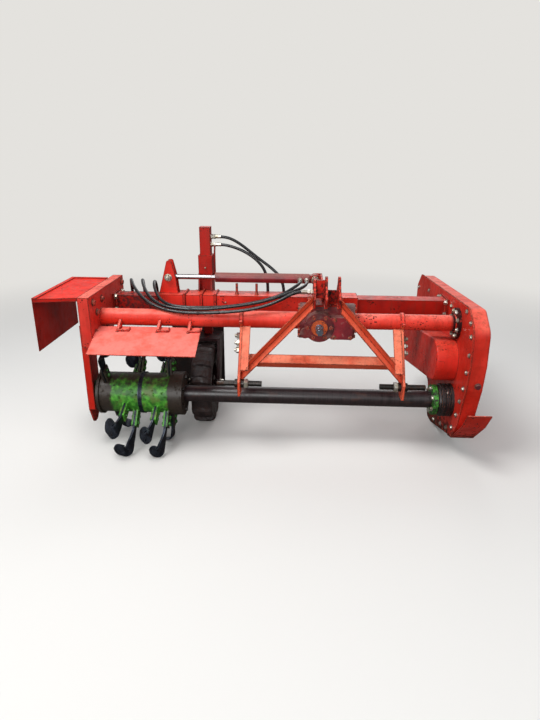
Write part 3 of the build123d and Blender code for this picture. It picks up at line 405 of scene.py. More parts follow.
# grease or mud on the enamel goes by low X, high X, how much and colour; everywhere is past both ends
everywhere = (-9, 9)
beamEnds = (at(-0.876, 0, 0).x, at(-0.632, 0, 0).x)
flangeStart = at(0.925, 0, 0).x
enamel = {key: sprayedEnamel("sprayed enamel " + key, look) for key, look in enamelLook.items()}
greasyTube = sprayedEnamel(
    "sprayed enamel greased at the flange", dict(enamelLook["tube"], specks=0.66, dirt=0.34),
    (flangeStart, everywhere[1], 0.95, "#2a1012"),
)
bareBeam = sprayedEnamel(
    "sprayed enamel rubbed off the beam", enamelLook["post"], (*beamEnds, 0.62, "#4a1c1c"),
)
greasyMast = sprayedEnamel("sprayed enamel under grease", enamelLook["frame"], (*everywhere, 0.55, "#4a1612"))
muddyLeg = sprayedEnamel("sprayed enamel under dried mud", enamelLook["post"], (*everywhere, 1.05, "#2a1416"))
castMaroon = sandCastEnamel("sand cast maroon enamel", "#48101a", "#7e1a1e", "#7a5850", 0.42)
lidMaroon = sandCastEnamel("sand cast lid enamel", "#6c0f1c", "#951a26", "#9a7068", 0.12)
castBlack = sandCastEnamel("oily black casting", "#09090b", "#141316", "#221918", 0.1)
greaseRing = sandCastEnamel("grease round a bolt", "#2a0e0c", "#4a1a14", "#38201a", 0.3)
cylinderMaroon = sandCastEnamel("brushed maroon enamel", "#64151c", "#8c2429", "#8a5a50", 0.25)
drumEnamel = scouredAndShadedDrumEnamel()
greenEnamel = scuffedGreenEnamel()
bladeSteel = forgedBladeSteel()
pipePaint = oilyPipePaint()
chrome = groundChrome()
zinc = yellowZinc()
boltPaint = paintedBolt()
barSteel = turnedSteel("turned bar steel", "#232120", "#454240")
shaftSteel = turnedSteel("ground shaft steel", "#5c6472", "#8f98a6")
tyreRubber = muddyTyreRubber()
hoseRubber = hoseCover()
sealRubber = oilySeal()
print("materials made:", len(bpy.data.materials))


# Hydraulic hoses: each runs through listed points, in millimetres
hoseLook = {"across": 0.017, "around": 16, "order": 3, "steps": 8}     # across is in metres
hoseRoutes = {
    "hose_shift_a": [
        (150, 252, 862), (150, 204, 862), (133, 157, 856), (99, 120, 840), (49, 95, 816),
        (-40, 84, 788), (-140, 77, 767), (-250, 62, 756), (-355, 51, 754), (-455, 50, 754),
        (-535, 68, 760), (-592, 114, 776), (-628, 172, 804), (-650, 228, 829), (-661, 280, 839),
        (-668, 332, 826), (-672, 368, 786), (-673, 386, 728), (-673, 386, 664),
    ],
    "hose_shift_b": [
        (186, 252, 862), (186, 202, 862), (176, 150, 856), (142, 108, 846), (80, 80, 826), (0, 60, 802),
        (-95, 50, 780), (-205, 40, 764), (-330, 27, 752), (-450, 27, 751), (-545, 42, 756),
        (-620, 86, 774), (-674, 150, 806), (-708, 216, 836), (-728, 282, 848), (-740, 336, 828),
        (-746, 372, 778), (-748, 386, 720), (-748, 386, 662),
    ],
    "hose_supply": [
        (187, 40, 850), (143, 40, 850), (100, 34, 836), (40, 16, 804), (-45, 6, 774), (-140, 0, 755),
        (-250, 0, 744), (-360, 3, 738), (-460, 6, 738), (-560, 22, 748), (-650, 66, 774),
        (-715, 132, 808), (-762, 204, 838), (-790, 278, 850), (-808, 334, 828), (-818, 372, 776),
        (-820, 386, 718), (-820, 386, 660),
    ],
    "hose_lift_upper": [
        (-332, 418, 1070), (-284, 418, 1070), (-236, 418, 1057), (-184, 418, 1026), (-130, 417, 984),
        (-72, 414, 940), (-14, 408, 900), (34, 398, 856), (56, 389, 804), (60, 386, 758),
        (60, 386, 726),
    ],
    "hose_lift_lower": [
        (-332, 418, 1026), (-286, 418, 1026), (-236, 412, 1016), (-182, 400, 999), (-130, 391, 972),
        (-86, 386, 938), (-52, 384, 894), (-36, 385, 840), (-32, 386, 782), (-32, 386, 726),
    ],
}


def makeHose(label, body):
    curve = bpy.data.curves.new(label + " line", "CURVE")
    curve.dimensions = "3D"
    curve.bevel_depth = hoseLook["across"] / 2
    curve.bevel_resolution = hoseLook["around"] // 4
    curve.resolution_u = hoseLook["steps"]
    spline = curve.splines.new("NURBS")
    spline.points.add(len(hoseLines[label]) - 1)
    for point, place in zip(spline.points, hoseLines[label]):
        point.co = (*at(*place), 1)
    spline.order_u = hoseLook["order"]
    spline.use_endpoint_u = True
    hose = addObject(label.replace("_", "-") + "-cover", curve)
    curve.materials.append(hoseRubber)
    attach(hose, body)
    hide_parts(label)
    return hose


hoseLines = {
    label: [tuple(v / 1000 for v in point) for point in points] for label, points in hoseRoutes.items()
}
hoses = {label: makeHose(label, "carriage" if "lift" in label else "frame") for label in hoseLines}
print("hoses laid:", len(hoses))


def meshPiece(name, verts, faces, material, body, slot, sharp=35):
    # one object from arrays, riding on a body; edges sharper than the angle stay crisp
    mesh = bpy.data.meshes.new(name)
    mesh.from_pydata(np.asarray(verts, np.float32).tolist(), [], [list(f) for f in faces])
    shape = bmesh.new()
    shape.from_mesh(mesh)
    bmesh.ops.remove_doubles(shape, verts=shape.verts, dist=2e-5)
    bmesh.ops.dissolve_degenerate(shape, edges=shape.edges, dist=1e-6)
    bmesh.ops.recalc_face_normals(shape, faces=shape.faces)
    shape.to_mesh(mesh)
    shape.free()
    mesh.polygons.foreach_set("use_smooth", np.ones(len(mesh.polygons), bool))
    mesh.set_sharp_from_angle(angle=math.radians(sharp))
    mesh.materials.append(material)
    piece = addObject(name, mesh)
    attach(piece, body)
    return piece


def unit(vectors):
    return vectors / np.linalg.norm(vectors, axis=-1, keepdims=True)


def roundAngles(count):
    return np.arange(count) * 2 * math.pi / count


def gridFaces(rows, columns, closeRows=False, closeColumns=False):
    # quads between neighbouring points of a rows by columns grid, numbered row by row
    r = np.arange(rows if closeRows else rows - 1)[:, None]
    c = np.arange(columns if closeColumns else columns - 1)[None]
    nextR, nextC = (r + 1) % rows, (c + 1) % columns
    corners = [r * columns + c, r * columns + nextC, nextR * columns + nextC, nextR * columns + c]
    return np.stack(corners, -1).reshape(-1, 4)


def turned(profile, sides=24):
    # each row (along, radius) becomes a ring; a third number is how many flats it has, and then the
    # radius is half the width across them: r(angle) = radius / cos(angle from the middle of its flat)
    around = roundAngles(sides)
    rings = []
    for along, radius, *flats in profile:
        r = np.full(sides, radius)
        if flats:
            step = 2 * math.pi / flats[0]
            r = radius / np.cos((around + step / 2) % step - step / 2)
        rings.append(np.stack([r * np.cos(around), r * np.sin(around), np.full(sides, along)], -1))
    return np.concatenate(rings) / 1000, gridFaces(len(profile), sides, closeColumns=True)


spinStep = 0.7                 # radians between one copy and the next, so that hexagons don't line up


def axesFor(direction, spin=0.0):
    # three unit vectors whose third is the direction, spun about it
    third = unit(np.array(direction, float))
    side = unit(np.cross(third, (0, 0, 1) if abs(third[2]) < 0.9 else (1, 0, 0)))
    other = np.cross(third, side)
    c, q = math.cos(spin), math.sin(spin)
    return np.stack([side * c + other * q, other * c - side * q, third])


def repeated(part, places):
    # copies of one part, each carried to its place, turned to its direction and spun a little further
    verts, faces = part
    allVerts, allFaces = [], []
    for k, (spot, way) in enumerate(places):
        allVerts.append(verts @ axesFor(way, spinStep * k) + np.array(at(*spot)))
        allFaces.append(faces + k * len(verts))
    return np.concatenate(allVerts), np.concatenate(allFaces)


def joined(*parts):
    verts, faces, start = [], [], 0
    for v, f in parts:
        verts.append(v)
        faces += [[int(i) + start for i in face] for face in f]
        start += len(v)
    return np.concatenate(verts), faces


def ringOf(count, radius, centre, start=0.0, axis="x"):
    # count places evenly round a circle about an axis along X or Y
    x, y, z = centre
    turns = [(radius * math.cos(a), radius * math.sin(a)) for a in start + roundAngles(count)]
    return [(x, y + c, z + q) if axis == "x" else (x + c, y, z + q) for c, q in turns]


def facing(way, spots):
    # places that all look the same way
    return [(spot, way) for spot in spots]


# Fasteners: their sections are in millimetres, their places in metres
boltSizes = {
    "m10": dict(washer=11, washerT=2.0, half=8.0, head=6.5, stud=0),
    "m12": dict(washer=13, washerT=2.5, half=9.2, head=8, stud=0),
    "m12stud": dict(washer=13, washerT=2.5, half=9.2, head=10, stud=9),
    "m16": dict(washer=16, washerT=3, half=12, head=10, stud=0),
    "m20nut": dict(washer=21, washerT=3.5, half=15, head=16, stud=10),
}


def boltHead(size):
    # washer disc, six-sided head chamfered to a circle, and the end of the stud
    s = boltSizes[size]
    t, h, top = s["washerT"], s["half"], s["washerT"] + s["head"]
    rows = [(-1, s["washer"]), (t - 0.5, s["washer"]), (t, s["washer"] - 0.6), (t, h * 1.02)]
    rows += [(t, h, 6), (top - h * 0.14, h, 6), (top, h * 0.93)]
    if s["stud"]:
        thread = h * 0.62
        rows += [(top, thread), (top + s["stud"] - 1.2, thread), (top + s["stud"], thread - 1.4)]
    rows.append((rows[-1][0], 0.01))
    return turned(rows)


def bolts(name, size, places, material, body, slot):
    meshPiece(name, *repeated(boltHead(size), places), material, body, slot)


caseBolts = (
    (0.687, 0.721), (0.461, 0.740), (0.183, 0.753), (-0.082, 0.795), (-0.160, 0.758), (-0.192, 0.700),
    (-0.200, 0.610), (-0.195, 0.520), (-0.180, 0.430), (-0.155, 0.350), (-0.128, 0.262), (-0.085, 0.170),
    (0.000, 0.125), (0.110, 0.092), (0.250, 0.050), (0.390, 0.048), (0.436, 0.160), (0.560, 0.250),
    (0.720, 0.285), (0.860, 0.325), (0.930, 0.440), (0.960, 0.560), (0.965, 0.680),
)
plateBolts = (
    (-0.065, 0.800), (-0.020, 0.740), (0.062, 0.790), (0.405, 0.805), (-0.062, 0.640), (0.110, 0.640),
)
strapBolts = ((0.030, 0.612), (0.010, 0.580), (-0.012, 0.548))
hitchPins = (-0.128, 0.408)    # Y and Z of the lower hitch pins
onCase = facing(toLeft, [(0.960, y, z) for y, z in caseBolts])
onPlate = facing(toRight, [(-0.890, y, z) for y, z in plateBolts])
onBeam = [
    ((x, beamAxis[0] + y, beamAxis[1] + z), way)
    for x, way in ((0.948, toLeft), (-0.878, toRight)) for y in (-0.063, 0.063) for z in (-0.034, 0.034)
]
onStraps = [((x, *spot), way) for x, way in ((-0.157, toLeft), (0.682, toRight)) for spot in strapBolts]
onPins = [((-0.143, *hitchPins), toRight), ((0.668, *hitchPins), toLeft)]
onLid = facing(toFront, [(x, -0.095, z) for x in (0.322, 0.402) for z in (0.652, 0.744)])
onMast = facing(toTop, [(x, y, 0.800) for x in (0.200, 0.360) for y in (0.005, 0.105)])
onTubeFlange = facing(toLeft, ringOf(8, 0.064, (0.945, *tubeAxis), 0.3))
onDriveFlange = facing(toLeft, ringOf(6, 0.063, (0.856, *rotorAxis), 0.5))
onCollar = facing(toRight, ringOf(6, 0.090, (-0.458, *rotorAxis), 0.4))
onBearing = facing(toRight, ringOf(4, 0.048, (-0.915, *rotorAxis), 0.785))
onGearsRight = facing(toRight, ringOf(8, 0.078, (0.428, *tubeAxis), 0.39))
onGearsLeft = facing(toLeft, ringOf(8, 0.078, (0.152, *tubeAxis), 0.39))
onInput = facing(toFront, ringOf(6, 0.058, (0.248, -0.085, 0.698), 0.0, "y"))
for row in (
    ("case-edge-bolts", "m10", onCase, zinc, "frame", "zinc_steel"),
    ("tube-flange-bolts", "m12", onTubeFlange, zinc, "frame", "zinc_steel"),
    ("beam-flange-bolts", "m16", onBeam, zinc, "frame", "zinc_steel"),
    ("end-plate-bolts", "m16", onPlate, boltPaint, "frame", "red_paint"),
    ("drive-flange-bolts", "m12", onDriveFlange, zinc, "rotor", "shaft_steel"),
    ("drum-collar-bolts", "m12", onCollar, barSteel, "rotor", "shaft_steel"),
    ("bearing-bolts", "m12", onBearing, boltPaint, "frame", "green_paint"),
    ("hitch-nuts", "m20nut", onStraps, zinc, "frame", "zinc_steel"),
    ("pin-nuts", "m20nut", onPins, zinc, "frame", "zinc_steel"),
    ("lid-bolts", "m10", onLid, boltPaint, "frame", "maroon_paint"),
    ("gearbox-right-bolts", "m12", onGearsRight, boltPaint, "frame", "maroon_paint"),
    ("gearbox-left-bolts", "m12", onGearsLeft, boltPaint, "frame", "maroon_paint"),
    ("input-ring-bolts", "m10", onInput, boltPaint, "frame", "maroon_paint"),
    ("mast-base-bolts", "m12", onMast, boltPaint, "frame", "red_paint"),
):
    bolts(*row)

# a film of old grease on the paint round each bolt, half a millimetre thick
for name, radius, places in (("case-grease", 15, onCase), ("plate-grease", 21, onPlate)):
    film = turned([(-0.5, radius), (0.2, radius), (0.5, radius - 3), (0.5, 1)])
    meshPiece(name, *repeated(film, places), greaseRing, "frame", "red_paint")
print("fasteners placed")


# Rotor blades: forged bars that twist and bend into a foot, bolted into their holders
blade = {
    "width": 60.0, "t": 10.0, "root": 113.0, "edge": 15.0, "tip": 34.0, "steps": 60,
    "twistFrom": 0.45,         # share of the straight run that stays untwisted
    "thinned": 0.35,           # share of the thickness that forging takes off the foot
    # X, angle from straight down, reach and foot along X as the drawing has them,
    # then the bend's radius and degrees, the twist in degrees and how much wider the foot is
    "stations": [
        (-862, -152, 306, 60, 38, 100, 12, 4), (-758, -68, 306, -96, 24, 138, 34, 26),
        (-712, -40, 349, -105, 38, 104, 42, 12), (-597, -60, 306, -78, 22, 134, 34, 26),
        (-546, -40, 349, -84, 34, 106, 42, 12), (-534, 0, 287, -57, 34, 96, 14, 4),
    ],
}


def smoothStep(x):
    x = np.clip(x, 0, 1)
    return x * x * (3 - 2 * x)


def bladeForm(reach, foot, bend, degrees, twist, flare):
    # A bar runs down from the root, round an arc of the bend's radius and on along its tangent:
    # x(turn) = bend (1 - cos turn), z(turn) = -bend sin turn. Its width axis turns from Y to the axis.
    b, side, last = blade, math.copysign(1, foot), math.radians(degrees)
    down = reach - bend - b["root"]
    arc = bend * last
    out = (abs(foot) - bend * (1 - math.cos(last))) / math.sin(last)
    s = np.linspace(0, down + arc + out, b["steps"])
    turn = np.clip((s - down) / bend, 0, last)
    past = np.clip(s - down - arc, 0, None)
    x = bend * (1 - np.cos(turn)) + past * math.sin(last)
    z = -b["root"] - np.clip(s, 0, down) - bend * np.sin(turn) - past * math.cos(last)
    path = np.stack([side * x, 0 * s, z], -1)
    inward = np.stack([side * np.cos(turn), 0 * s, np.sin(turn)], -1)
    begin, end = b["twistFrom"] * down, down + 0.9 * arc
    twisted = math.radians(twist) * smoothStep((s - begin) / (end - begin))[:, None]
    across = np.cos(twisted) * np.array([0.0, 1.0, 0.0]) - np.sin(twisted) * inward
    along = unit(np.gradient(path, axis=0))
    thick = np.cross(along, across)
    width = b["width"] + flare * smoothStep((s - down) / arc)
    toEnd = np.clip((s - (s[-1] - b["tip"])) / b["tip"], 0, 1)
    half = (width / 2 * np.sqrt(np.clip(1 - toEnd ** 2, 0.0004, 1)))[:, None]
    t = (b["t"] * (1 - b["thinned"] * smoothStep((s - down) / arc)))[:, None] / 2
    path = path + np.sin(twisted) * (width / 2)[:, None] * inward
    edge = np.minimum(b["edge"], half * 0.8)
    rows = [
        (-half, -t), (half - edge, -t), (half, -0.15 * t), (half, 0.15 * t), (half - edge, t), (-half, t),
    ]
    verts = np.stack([path + a * across + c * thick for a, c in rows], 1)
    return verts.reshape(-1, 3), gridFaces(len(s), len(rows), closeColumns=True)


def onRotor(verts, x, angle):
    # turns a blade's points about the rotor axis and carries them to its station, in metres
    c, q = math.cos(math.radians(angle)), math.sin(math.radians(angle))
    y, z = verts[:, 1] * c - verts[:, 2] * q, verts[:, 1] * q + verts[:, 2] * c
    return placed(np.stack([verts[:, 0] + x, y, z + rotorAxis[1] * 1000], -1) / 1000)


def capped(part, columns):
    # closes both ends of a swept form with one face each
    verts, faces = part
    return verts, faces.tolist() + [list(range(columns))[::-1], list(range(len(verts) - columns, len(verts)))]


bladeParts, bladeBolts = [], []
boltReach, halfHolder = (138, 172), 13.8     # millimetres from the rotor axis, and across a holder
for x, angle, *form in blade["stations"]:
    verts, faces = capped(bladeForm(*form), 6)
    for turn in (0, 180):
        bladeParts.append((onRotor(verts, x, angle + turn), faces))
        for r in boltReach:
            for way in (-1, 1):
                spot = onRotor(np.array([[way * halfHolder, 0.0, -r]]), x, angle + turn)[0] - np.array(zero)
                bladeBolts.append((tuple(spot), (way, 0, 0)))
blades = meshPiece("forged-blades", *joined(*bladeParts), bladeSteel, "rotor", "blade_steel", 30)
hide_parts("rotor_blades")
bolts("blade-bolts", "m10", bladeBolts, greenEnamel, "rotor", "blade_steel")

# a band round the drum between the blades, in millimetres
drumBand = {"x": -690.0, "width": 20.0, "inner": 107.0, "outer": 113.0, "sides": 72}
b = drumBand
bandForm = turned([
    (0, b["inner"]), (0, b["outer"]), (b["width"], b["outer"]), (b["width"], b["inner"]),
], b["sides"])
bandSpot = ((b["x"] / 1000, *rotorAxis), toRight)
meshPiece("drum-band", *repeated(bandForm, [bandSpot]), bladeSteel, "rotor", "blade_steel")
print("rotor dressed")


# Gauge wheel tyre: radius r(around, along) = section + lug pulse, faded down the shoulders
tyre = {
    "x": -0.392, "rim": 120.0, "body": 219.0, "half": 60.0, "shoulder": 26.0,
    "bulge": 8.0, "crown": 2.0, "lug": 15.5, "lugs": 14, "steps": 18, "slant": 0.05, "flare": 0.035,
    "fadeFrom": 34.0, "fade": 30.0,     # depth below the tread where the lugs begin, and how soon they are full
}


def tyreForm():
    t = tyre
    # section from bead to bead, in millimetres: side wall bulges as a sine, the shoulder is a quarter round
    rise = np.linspace(0, 1, 8)
    wallX = -t["half"] + 10 - t["bulge"] * np.sin(rise * math.pi * 0.55)
    wallR = t["rim"] - 2 + rise * (t["body"] - t["shoulder"] - t["rim"])
    bend = np.linspace(0, math.pi / 2, 7)
    roundX = -t["half"] + 2 + t["shoulder"] * (1 - np.cos(bend))
    roundR = t["body"] - t["shoulder"] * (1 - np.sin(bend))
    leftX, leftR = np.concatenate([wallX, roundX]), np.concatenate([wallR, roundR])
    flat = np.linspace(roundX[-1], -roundX[-1], 9)[1:-1]
    x = np.concatenate([leftX, flat, -leftX[::-1]])
    r = np.concatenate([leftR, np.full(len(flat), t["body"]) + t["crown"] * np.cos(flat / 35), leftR[::-1]])
    reach = smoothStep((r - (t["body"] - t["fadeFrom"])) / t["fade"])
    around = roundAngles(t["lugs"] * t["steps"])
    slant = t["slant"] * np.abs(x) / t["half"]
    pulse = np.cos(t["lugs"] * (around[:, None] - slant[None]))
    lugHeight = t["lug"] * smoothStep((pulse - 0.28) / 0.34) * reach
    r = r[None] + lugHeight
    wide = x[None] * (1 + t["flare"] * lugHeight / t["lug"])
    turns = np.stack([wide + 0 * r, r * np.cos(around)[:, None], r * np.sin(around)[:, None]], -1)
    verts = placed(turns.reshape(-1, 3) / 1000 + [t["x"], *wheelAxis])
    return verts, gridFaces(len(around), len(x), closeRows=True, closeColumns=True)


tyreMesh = meshPiece("lugged-tyre", *tyreForm(), tyreRubber, "gauge_wheel", "tyre", 40)
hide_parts("wheel_tyre")
onRim = [
    place for x, way in ((-0.396, toLeft), (-0.388, toRight))
    for place in facing(way, ringOf(5, 0.066, (x, *wheelAxis), 0.3))
]
onAxle = [((-0.477, *wheelAxis), toLeft), ((-0.307, *wheelAxis), toRight)]
bolts("wheel-bolts", "m12", onRim, boltPaint, "gauge_wheel", "rim_paint")
bolts("axle-nuts", "m20nut", onAxle, zinc, "wheel_leg", "zinc_steel")
print("wheel dressed")


# Hose ends: crimped ferrules, swivel nuts, ports, elbows and couplers, in millimetres
def crimped(start, length, radius):
    # a ferrule pressed in eight lobes between two plain lips
    end, bore, waist = start + length, radius - 3, radius - 1.2
    return [
        (start, bore), (start, radius), (start + 3, radius), (start + 4, waist, 8),
        (end - 5, waist, 8), (end - 4, radius), (end, radius), (end, bore),
    ]


portRows = [
    (-26, 3), (-26, 12, 6), (-15, 12, 6), (-15, 8), (-12, 8), (-12, 11.5, 6), (0, 11.5, 6),
    (0, 9),
] + crimped(1, 30, 11.5)
couplerRows = crimped(-30, 30, 11.5) + [
    (1, 9), (1, 11.5, 6), (13, 11.5, 6), (13, 13), (34, 13), (36, 11), (40, 11),
    (42, 13), (50, 13), (51, 10), (60, 9.5), (62, 7), (62, 3),
]
elbowRows = crimped(-30, 30, 11.5) + [
    (1, 9), (1, 11.5, 6), (13, 11.5, 6), (13, 9.5), (32, 9.5), (34, 8), (34, 1),
]


def hoseEnd(label, last):
    # place and direction of the run at a hose's first or last point
    a, b = (np.array(hoseLines[label][k]) for k in ((-2, -1) if last else (0, 1)))
    return tuple(b if last else a), tuple(b - a)


hung = ["hose_shift_a", "hose_shift_b", "hose_supply"]
lift = ["hose_lift_upper", "hose_lift_lower"]
portsAt = [hoseEnd(k, False) for k in hung]
ports = meshPiece("hose-ports", *repeated(turned(portRows), portsAt), zinc, "frame", "zinc_steel")
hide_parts("hose_ports")
for label in hung:
    name = label.replace("hose_", "").replace("_", "-") + "-coupler"
    form = repeated(turned(couplerRows), [hoseEnd(label, True)])
    meshPiece(name, *form, zinc, "frame", "zinc_steel")
    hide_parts("hose_couplers")
elbowArm = turned([(-11, 1), (-11, 9.5), (8, 9.5), (8, 11, 6), (20.5, 11, 6), (20.5, 1)])
liftEnds = meshPiece("lift-fittings", *joined(
    repeated(turned(portRows), [hoseEnd(k, False) for k in lift]),
    repeated(turned(elbowRows), [hoseEnd(k, True) for k in lift]),
    repeated(elbowArm, facing(toFront, [(x, 0.386, 0.701) for x in (0.060, -0.032)])),
), zinc, "carriage", "zinc_steel")
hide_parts("lift_fittings")


# Ribbed boot over the seal housing, in millimetres
bootRows = [
    (74, 60), (74, 87.5), (60, 87.5), (57, 81), (50, 81), (47, 87.5), (36, 87.5),
    (33, 81), (26, 81), (23, 87.5), (12, 87.5), (9, 80), (0, 78), (0, 46),
]
bootForm = repeated(turned(bootRows, 64), [((0.886, *rotorAxis), toRight)])
boot = meshPiece("seal-boot", *bootForm, castBlack, "frame", "black_cast")
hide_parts("seal_housing")


# Input shaft: radius drops by depth between the splines, with a groove for the yoke's lock
pto = {"x": 248.0, "y": 36.0, "z": 698.0, "splines": 6, "depth": 3.2, "sides": 96}


def splinedShaft():
    # rows of distance towards the tractor, radius, and 1 where the splines are cut
    rows = [
        (0, 1, 0), (0, 20, 0), (129, 20, 0), (129, 17.5, 0), (133, 17.5, 0), (135, 17.5, 1), (170, 17.5, 1),
        (171, 14.5, 0), (178, 14.5, 0), (179, 17.5, 1), (203, 17.5, 1), (205, 15.2, 0), (205, 1, 0),
    ]
    around = roundAngles(pto["sides"])
    between = smoothStep((np.cos(pto["splines"] * around) + 0.10) / -0.25)
    rings = []
    for along, radius, cut in rows:
        r = radius - cut * pto["depth"] * between
        x, z = pto["x"] + r * np.cos(around), pto["z"] + r * np.sin(around)
        rings.append(np.stack([x, pto["y"] - along + 0 * r, z], -1))
    return placed(np.concatenate(rings) / 1000), gridFaces(len(rows), pto["sides"], closeColumns=True)


shaftMesh = meshPiece("splined-input-shaft", *splinedShaft(), shaftSteel, "input_shaft", "zinc_steel", 30)
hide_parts("pto_shaft")


# Weld beads: a round of the given radius along a path, rippled every few millimetres
weld = {"radius": 3.6, "ripple": 0.16, "pitch": 5.0, "step": 1.7, "sides": 8}


def bead(points, closed=False, radius=weld["radius"], ripple=weld["ripple"], step=weld["step"]):
    # radius(s) = radius (1 + ripple |sin(pi s / pitch)|)
    points = np.array(points, float) * 1000
    if closed:
        points = np.vstack([points, points[:1]])
    lengths = np.r_[0, np.cumsum(np.linalg.norm(np.diff(points, axis=0), axis=1))]
    s = np.linspace(0, lengths[-1], max(4, int(lengths[-1] / step)))
    path = np.stack([np.interp(s, lengths, points[:, k]) for k in range(3)], -1)
    along = unit(np.gradient(path, axis=0))
    side = unit(np.cross(along, (0.31, 0.52, 0.79)))     # a direction that no weld runs along
    other = np.cross(along, side)
    r = (radius * (1 + ripple * np.abs(np.sin(math.pi * s / weld["pitch"]))))[:, None]
    if not closed:
        r[0] = r[-1] = 0.4     # the ends run out thin
    angles = roundAngles(weld["sides"])
    rings = np.stack([path + r * (side * math.cos(a) + other * math.sin(a)) for a in angles], 1)
    return placed(rings.reshape(-1, 3) / 1000), gridFaces(len(s), weld["sides"], closeColumns=True)


def tubeRing(x, radius):
    return bead(ringOf(64, radius + 0.001, (x, *tubeAxis)), closed=True)


def boxRing(x, y0, y1, z0, z1):
    return bead([(x, y0, z0), (x, y1, z0), (x, y1, z1), (x, y0, z1)], closed=True)


leftTube, rightTube = 0.04455, 0.04125     # radii
frameWelds = [tubeRing(x, radius) for x, radius in (
    (-0.889, leftTube), (0.944, rightTube), (-0.158, leftTube), (-0.142, leftTube),
    (0.667, rightTube), (0.683, rightTube), (0.151, leftTube), (0.429, rightTube),
)]
frameWelds += [boxRing(x, 0.255, 0.355, 0.682, 0.762) for x in (-0.877, 0.947)]
frameWelds += [bead([(x, -0.070, 0.500), (x, y, 0.464)]) for x, y in (
    (-0.142, -0.034), (-0.142, -0.106), (0.667, -0.106), (0.667, -0.034),
)]
frameWelds += [bead([(x, y, 0.801), (x, 0.110, 0.801)]) for x, y in (
    (0.225, -0.020), (0.271, -0.100), (0.347, -0.100), (0.335, -0.100),
)]
for x in (-0.786, -0.580, -0.421):
    for edge in (x, x + 0.014):
        frameWelds.append(bead([(edge, -0.066, 0.6515), (edge, -0.004, 0.6605)]))
meshPiece("frame-welds", *joined(*frameWelds), enamel["tube"], "frame", "red_paint", 60)

carriageWelds = [
    boxRing(x, 0.2445, 0.3655, 0.6715, 0.7725) for x in (-0.4955, -0.4845, -0.4005, -0.3895, -0.3225, -0.3115)
]
carriageWelds += [bead([(-0.636, y, 0.7730), (-0.530, y, 0.7730)]) for y in (0.276, 0.334)]
meshPiece("carriage-welds", *joined(*carriageWelds), enamel["post"], "carriage", "red_paint", 60)
print("welds laid")


# Mast braces: angle irons that open towards the tractor, in millimetres
brace = {"size": 34.0, "t": 5.0, "runs": [
    ((213, -131, 840), (-143, -118, 448)), ((347, -131, 820), (668, -118, 454)),
]}


def angleIron(start, end, size, t):
    # section points along two arms at right angles, slid along the run onto the planes of its ends
    start, end = np.array(start, float), np.array(end, float)
    along = unit(end - start)
    back = unit(np.array([0.0, 1.0, 0.0]) - along * along[1])
    side = np.cross(along, back)
    armA, armB = (side - back) / math.sqrt(2), (-side - back) / math.sqrt(2)
    section = [(0, 0), (size, 0), (size, t), (t, t), (t, size), (0, size)]
    rings = []
    for tip in (start, end):
        ring = np.array([tip + back * size / math.sqrt(2) + armA * a + armB * c for a, c in section])
        rings.append(ring + along * ((tip[0] - ring[:, :1]) / along[0]))
    return placed(np.concatenate(rings) / 1000), gridFaces(2, len(section), closeColumns=True)


irons = [capped(angleIron(a, b, brace["size"], brace["t"]), 6) for a, b in brace["runs"]]
braceMesh = meshPiece("mast-brace-irons", *joined(*irons), enamel["bar"], "frame", "red_paint")
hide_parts("mast_braces")


# Rim round the case plate: a rolled lip along its outline
caseCorners = [            # Y, Z, radius, as the drawing has them
    (-106, 821, 60), (-221, 733, 80), (-237, 566, 60), (-222, 430, 60), (-160, 215, 40), (-95, 120, 22),
    (320, 0, 22), (405, 0, 22), (470, 200, 60), (900, 300, 90), (1004, 560, 60), (1010, 690, 40),
    (925, 776, 40),
]


def roundedPath(corners, inset, steps=8):
    # each corner becomes an arc: its centre lies on the bisector, radius / sin(half the angle) from it;
    # the path runs inset inside, so the radius shrinks by inset at a left turn and grows elsewhere
    path = []
    for k, (y, z, radius) in enumerate(corners):
        here = np.array([y, z], float)
        toLast = unit(np.array(corners[k - 1][:2]) - here)
        toNext = unit(np.array(corners[(k + 1) % len(corners)][:2]) - here)
        half = math.acos(np.dot(toLast, toNext)) / 2
        centre = here + unit(toLast + toNext) * radius / math.sin(half)
        reach = radius / math.tan(half)
        first, last = here + toLast * reach - centre, here + toNext * reach - centre
        left = toLast[0] * toNext[1] - toLast[1] * toNext[0] < 0
        for u in np.linspace(0, 1, steps):
            spoke = first * (1 - u) + last * u
            path.append(centre + unit(spoke) * (radius + (-inset if left else inset)))
    return path


lip = {"x": 0.963, "inset": 3.6, "radius": 3.4, "ripple": 0.04, "step": 7.0}
lipLine = [(lip["x"], y / 1000, z / 1000) for y, z in roundedPath(caseCorners, lip["inset"])]
lipForm = bead(lipLine, closed=True, radius=lip["radius"], ripple=lip["ripple"], step=lip["step"])
meshPiece("case-lip", *lipForm, enamel["cover"], "frame", "red_paint")


# Small fittings
nippleForm = turned([
    (0, 1), (0, 4.5, 6), (4, 4.5, 6), (4, 3), (8, 2.6), (9, 3.4), (11, 3.4),
    (13, 1.6), (13, 0.2),
], 18)
meshPiece("grease-nipples", *repeated(nippleForm, [
    ((-0.930, -0.045, 0.330), (0, -0.7, 0.7)), ((0.925, -0.060, 0.352), (0, -0.7, 0.7)),
    ((0.300, -0.020, 0.790), (0, -0.4, 0.9)),
]), zinc, "frame", "zinc_steel")
meshPiece("carriage-nipples", *repeated(nippleForm, facing(toFront, [
    (-0.260, 0.2445, 0.735), (0.360, 0.2445, 0.735), (-0.388, 0.3785, 0.900),
])), zinc, "carriage", "zinc_steel")
for name, x, body in (("rod-pin-head", -0.581, "carriage"), ("anchor-pin-head", 0.232, "frame")):
    pinEnds = [((x, 0.2757, 0.862), toFront), ((x, 0.3343, 0.862), toBack)]
    bolts(name, "m20nut", pinEnds, zinc, body, "zinc_steel")
onStuds = facing(toTop, [(x, 0.280, 0.7725) for x in (-0.200, -0.090)])
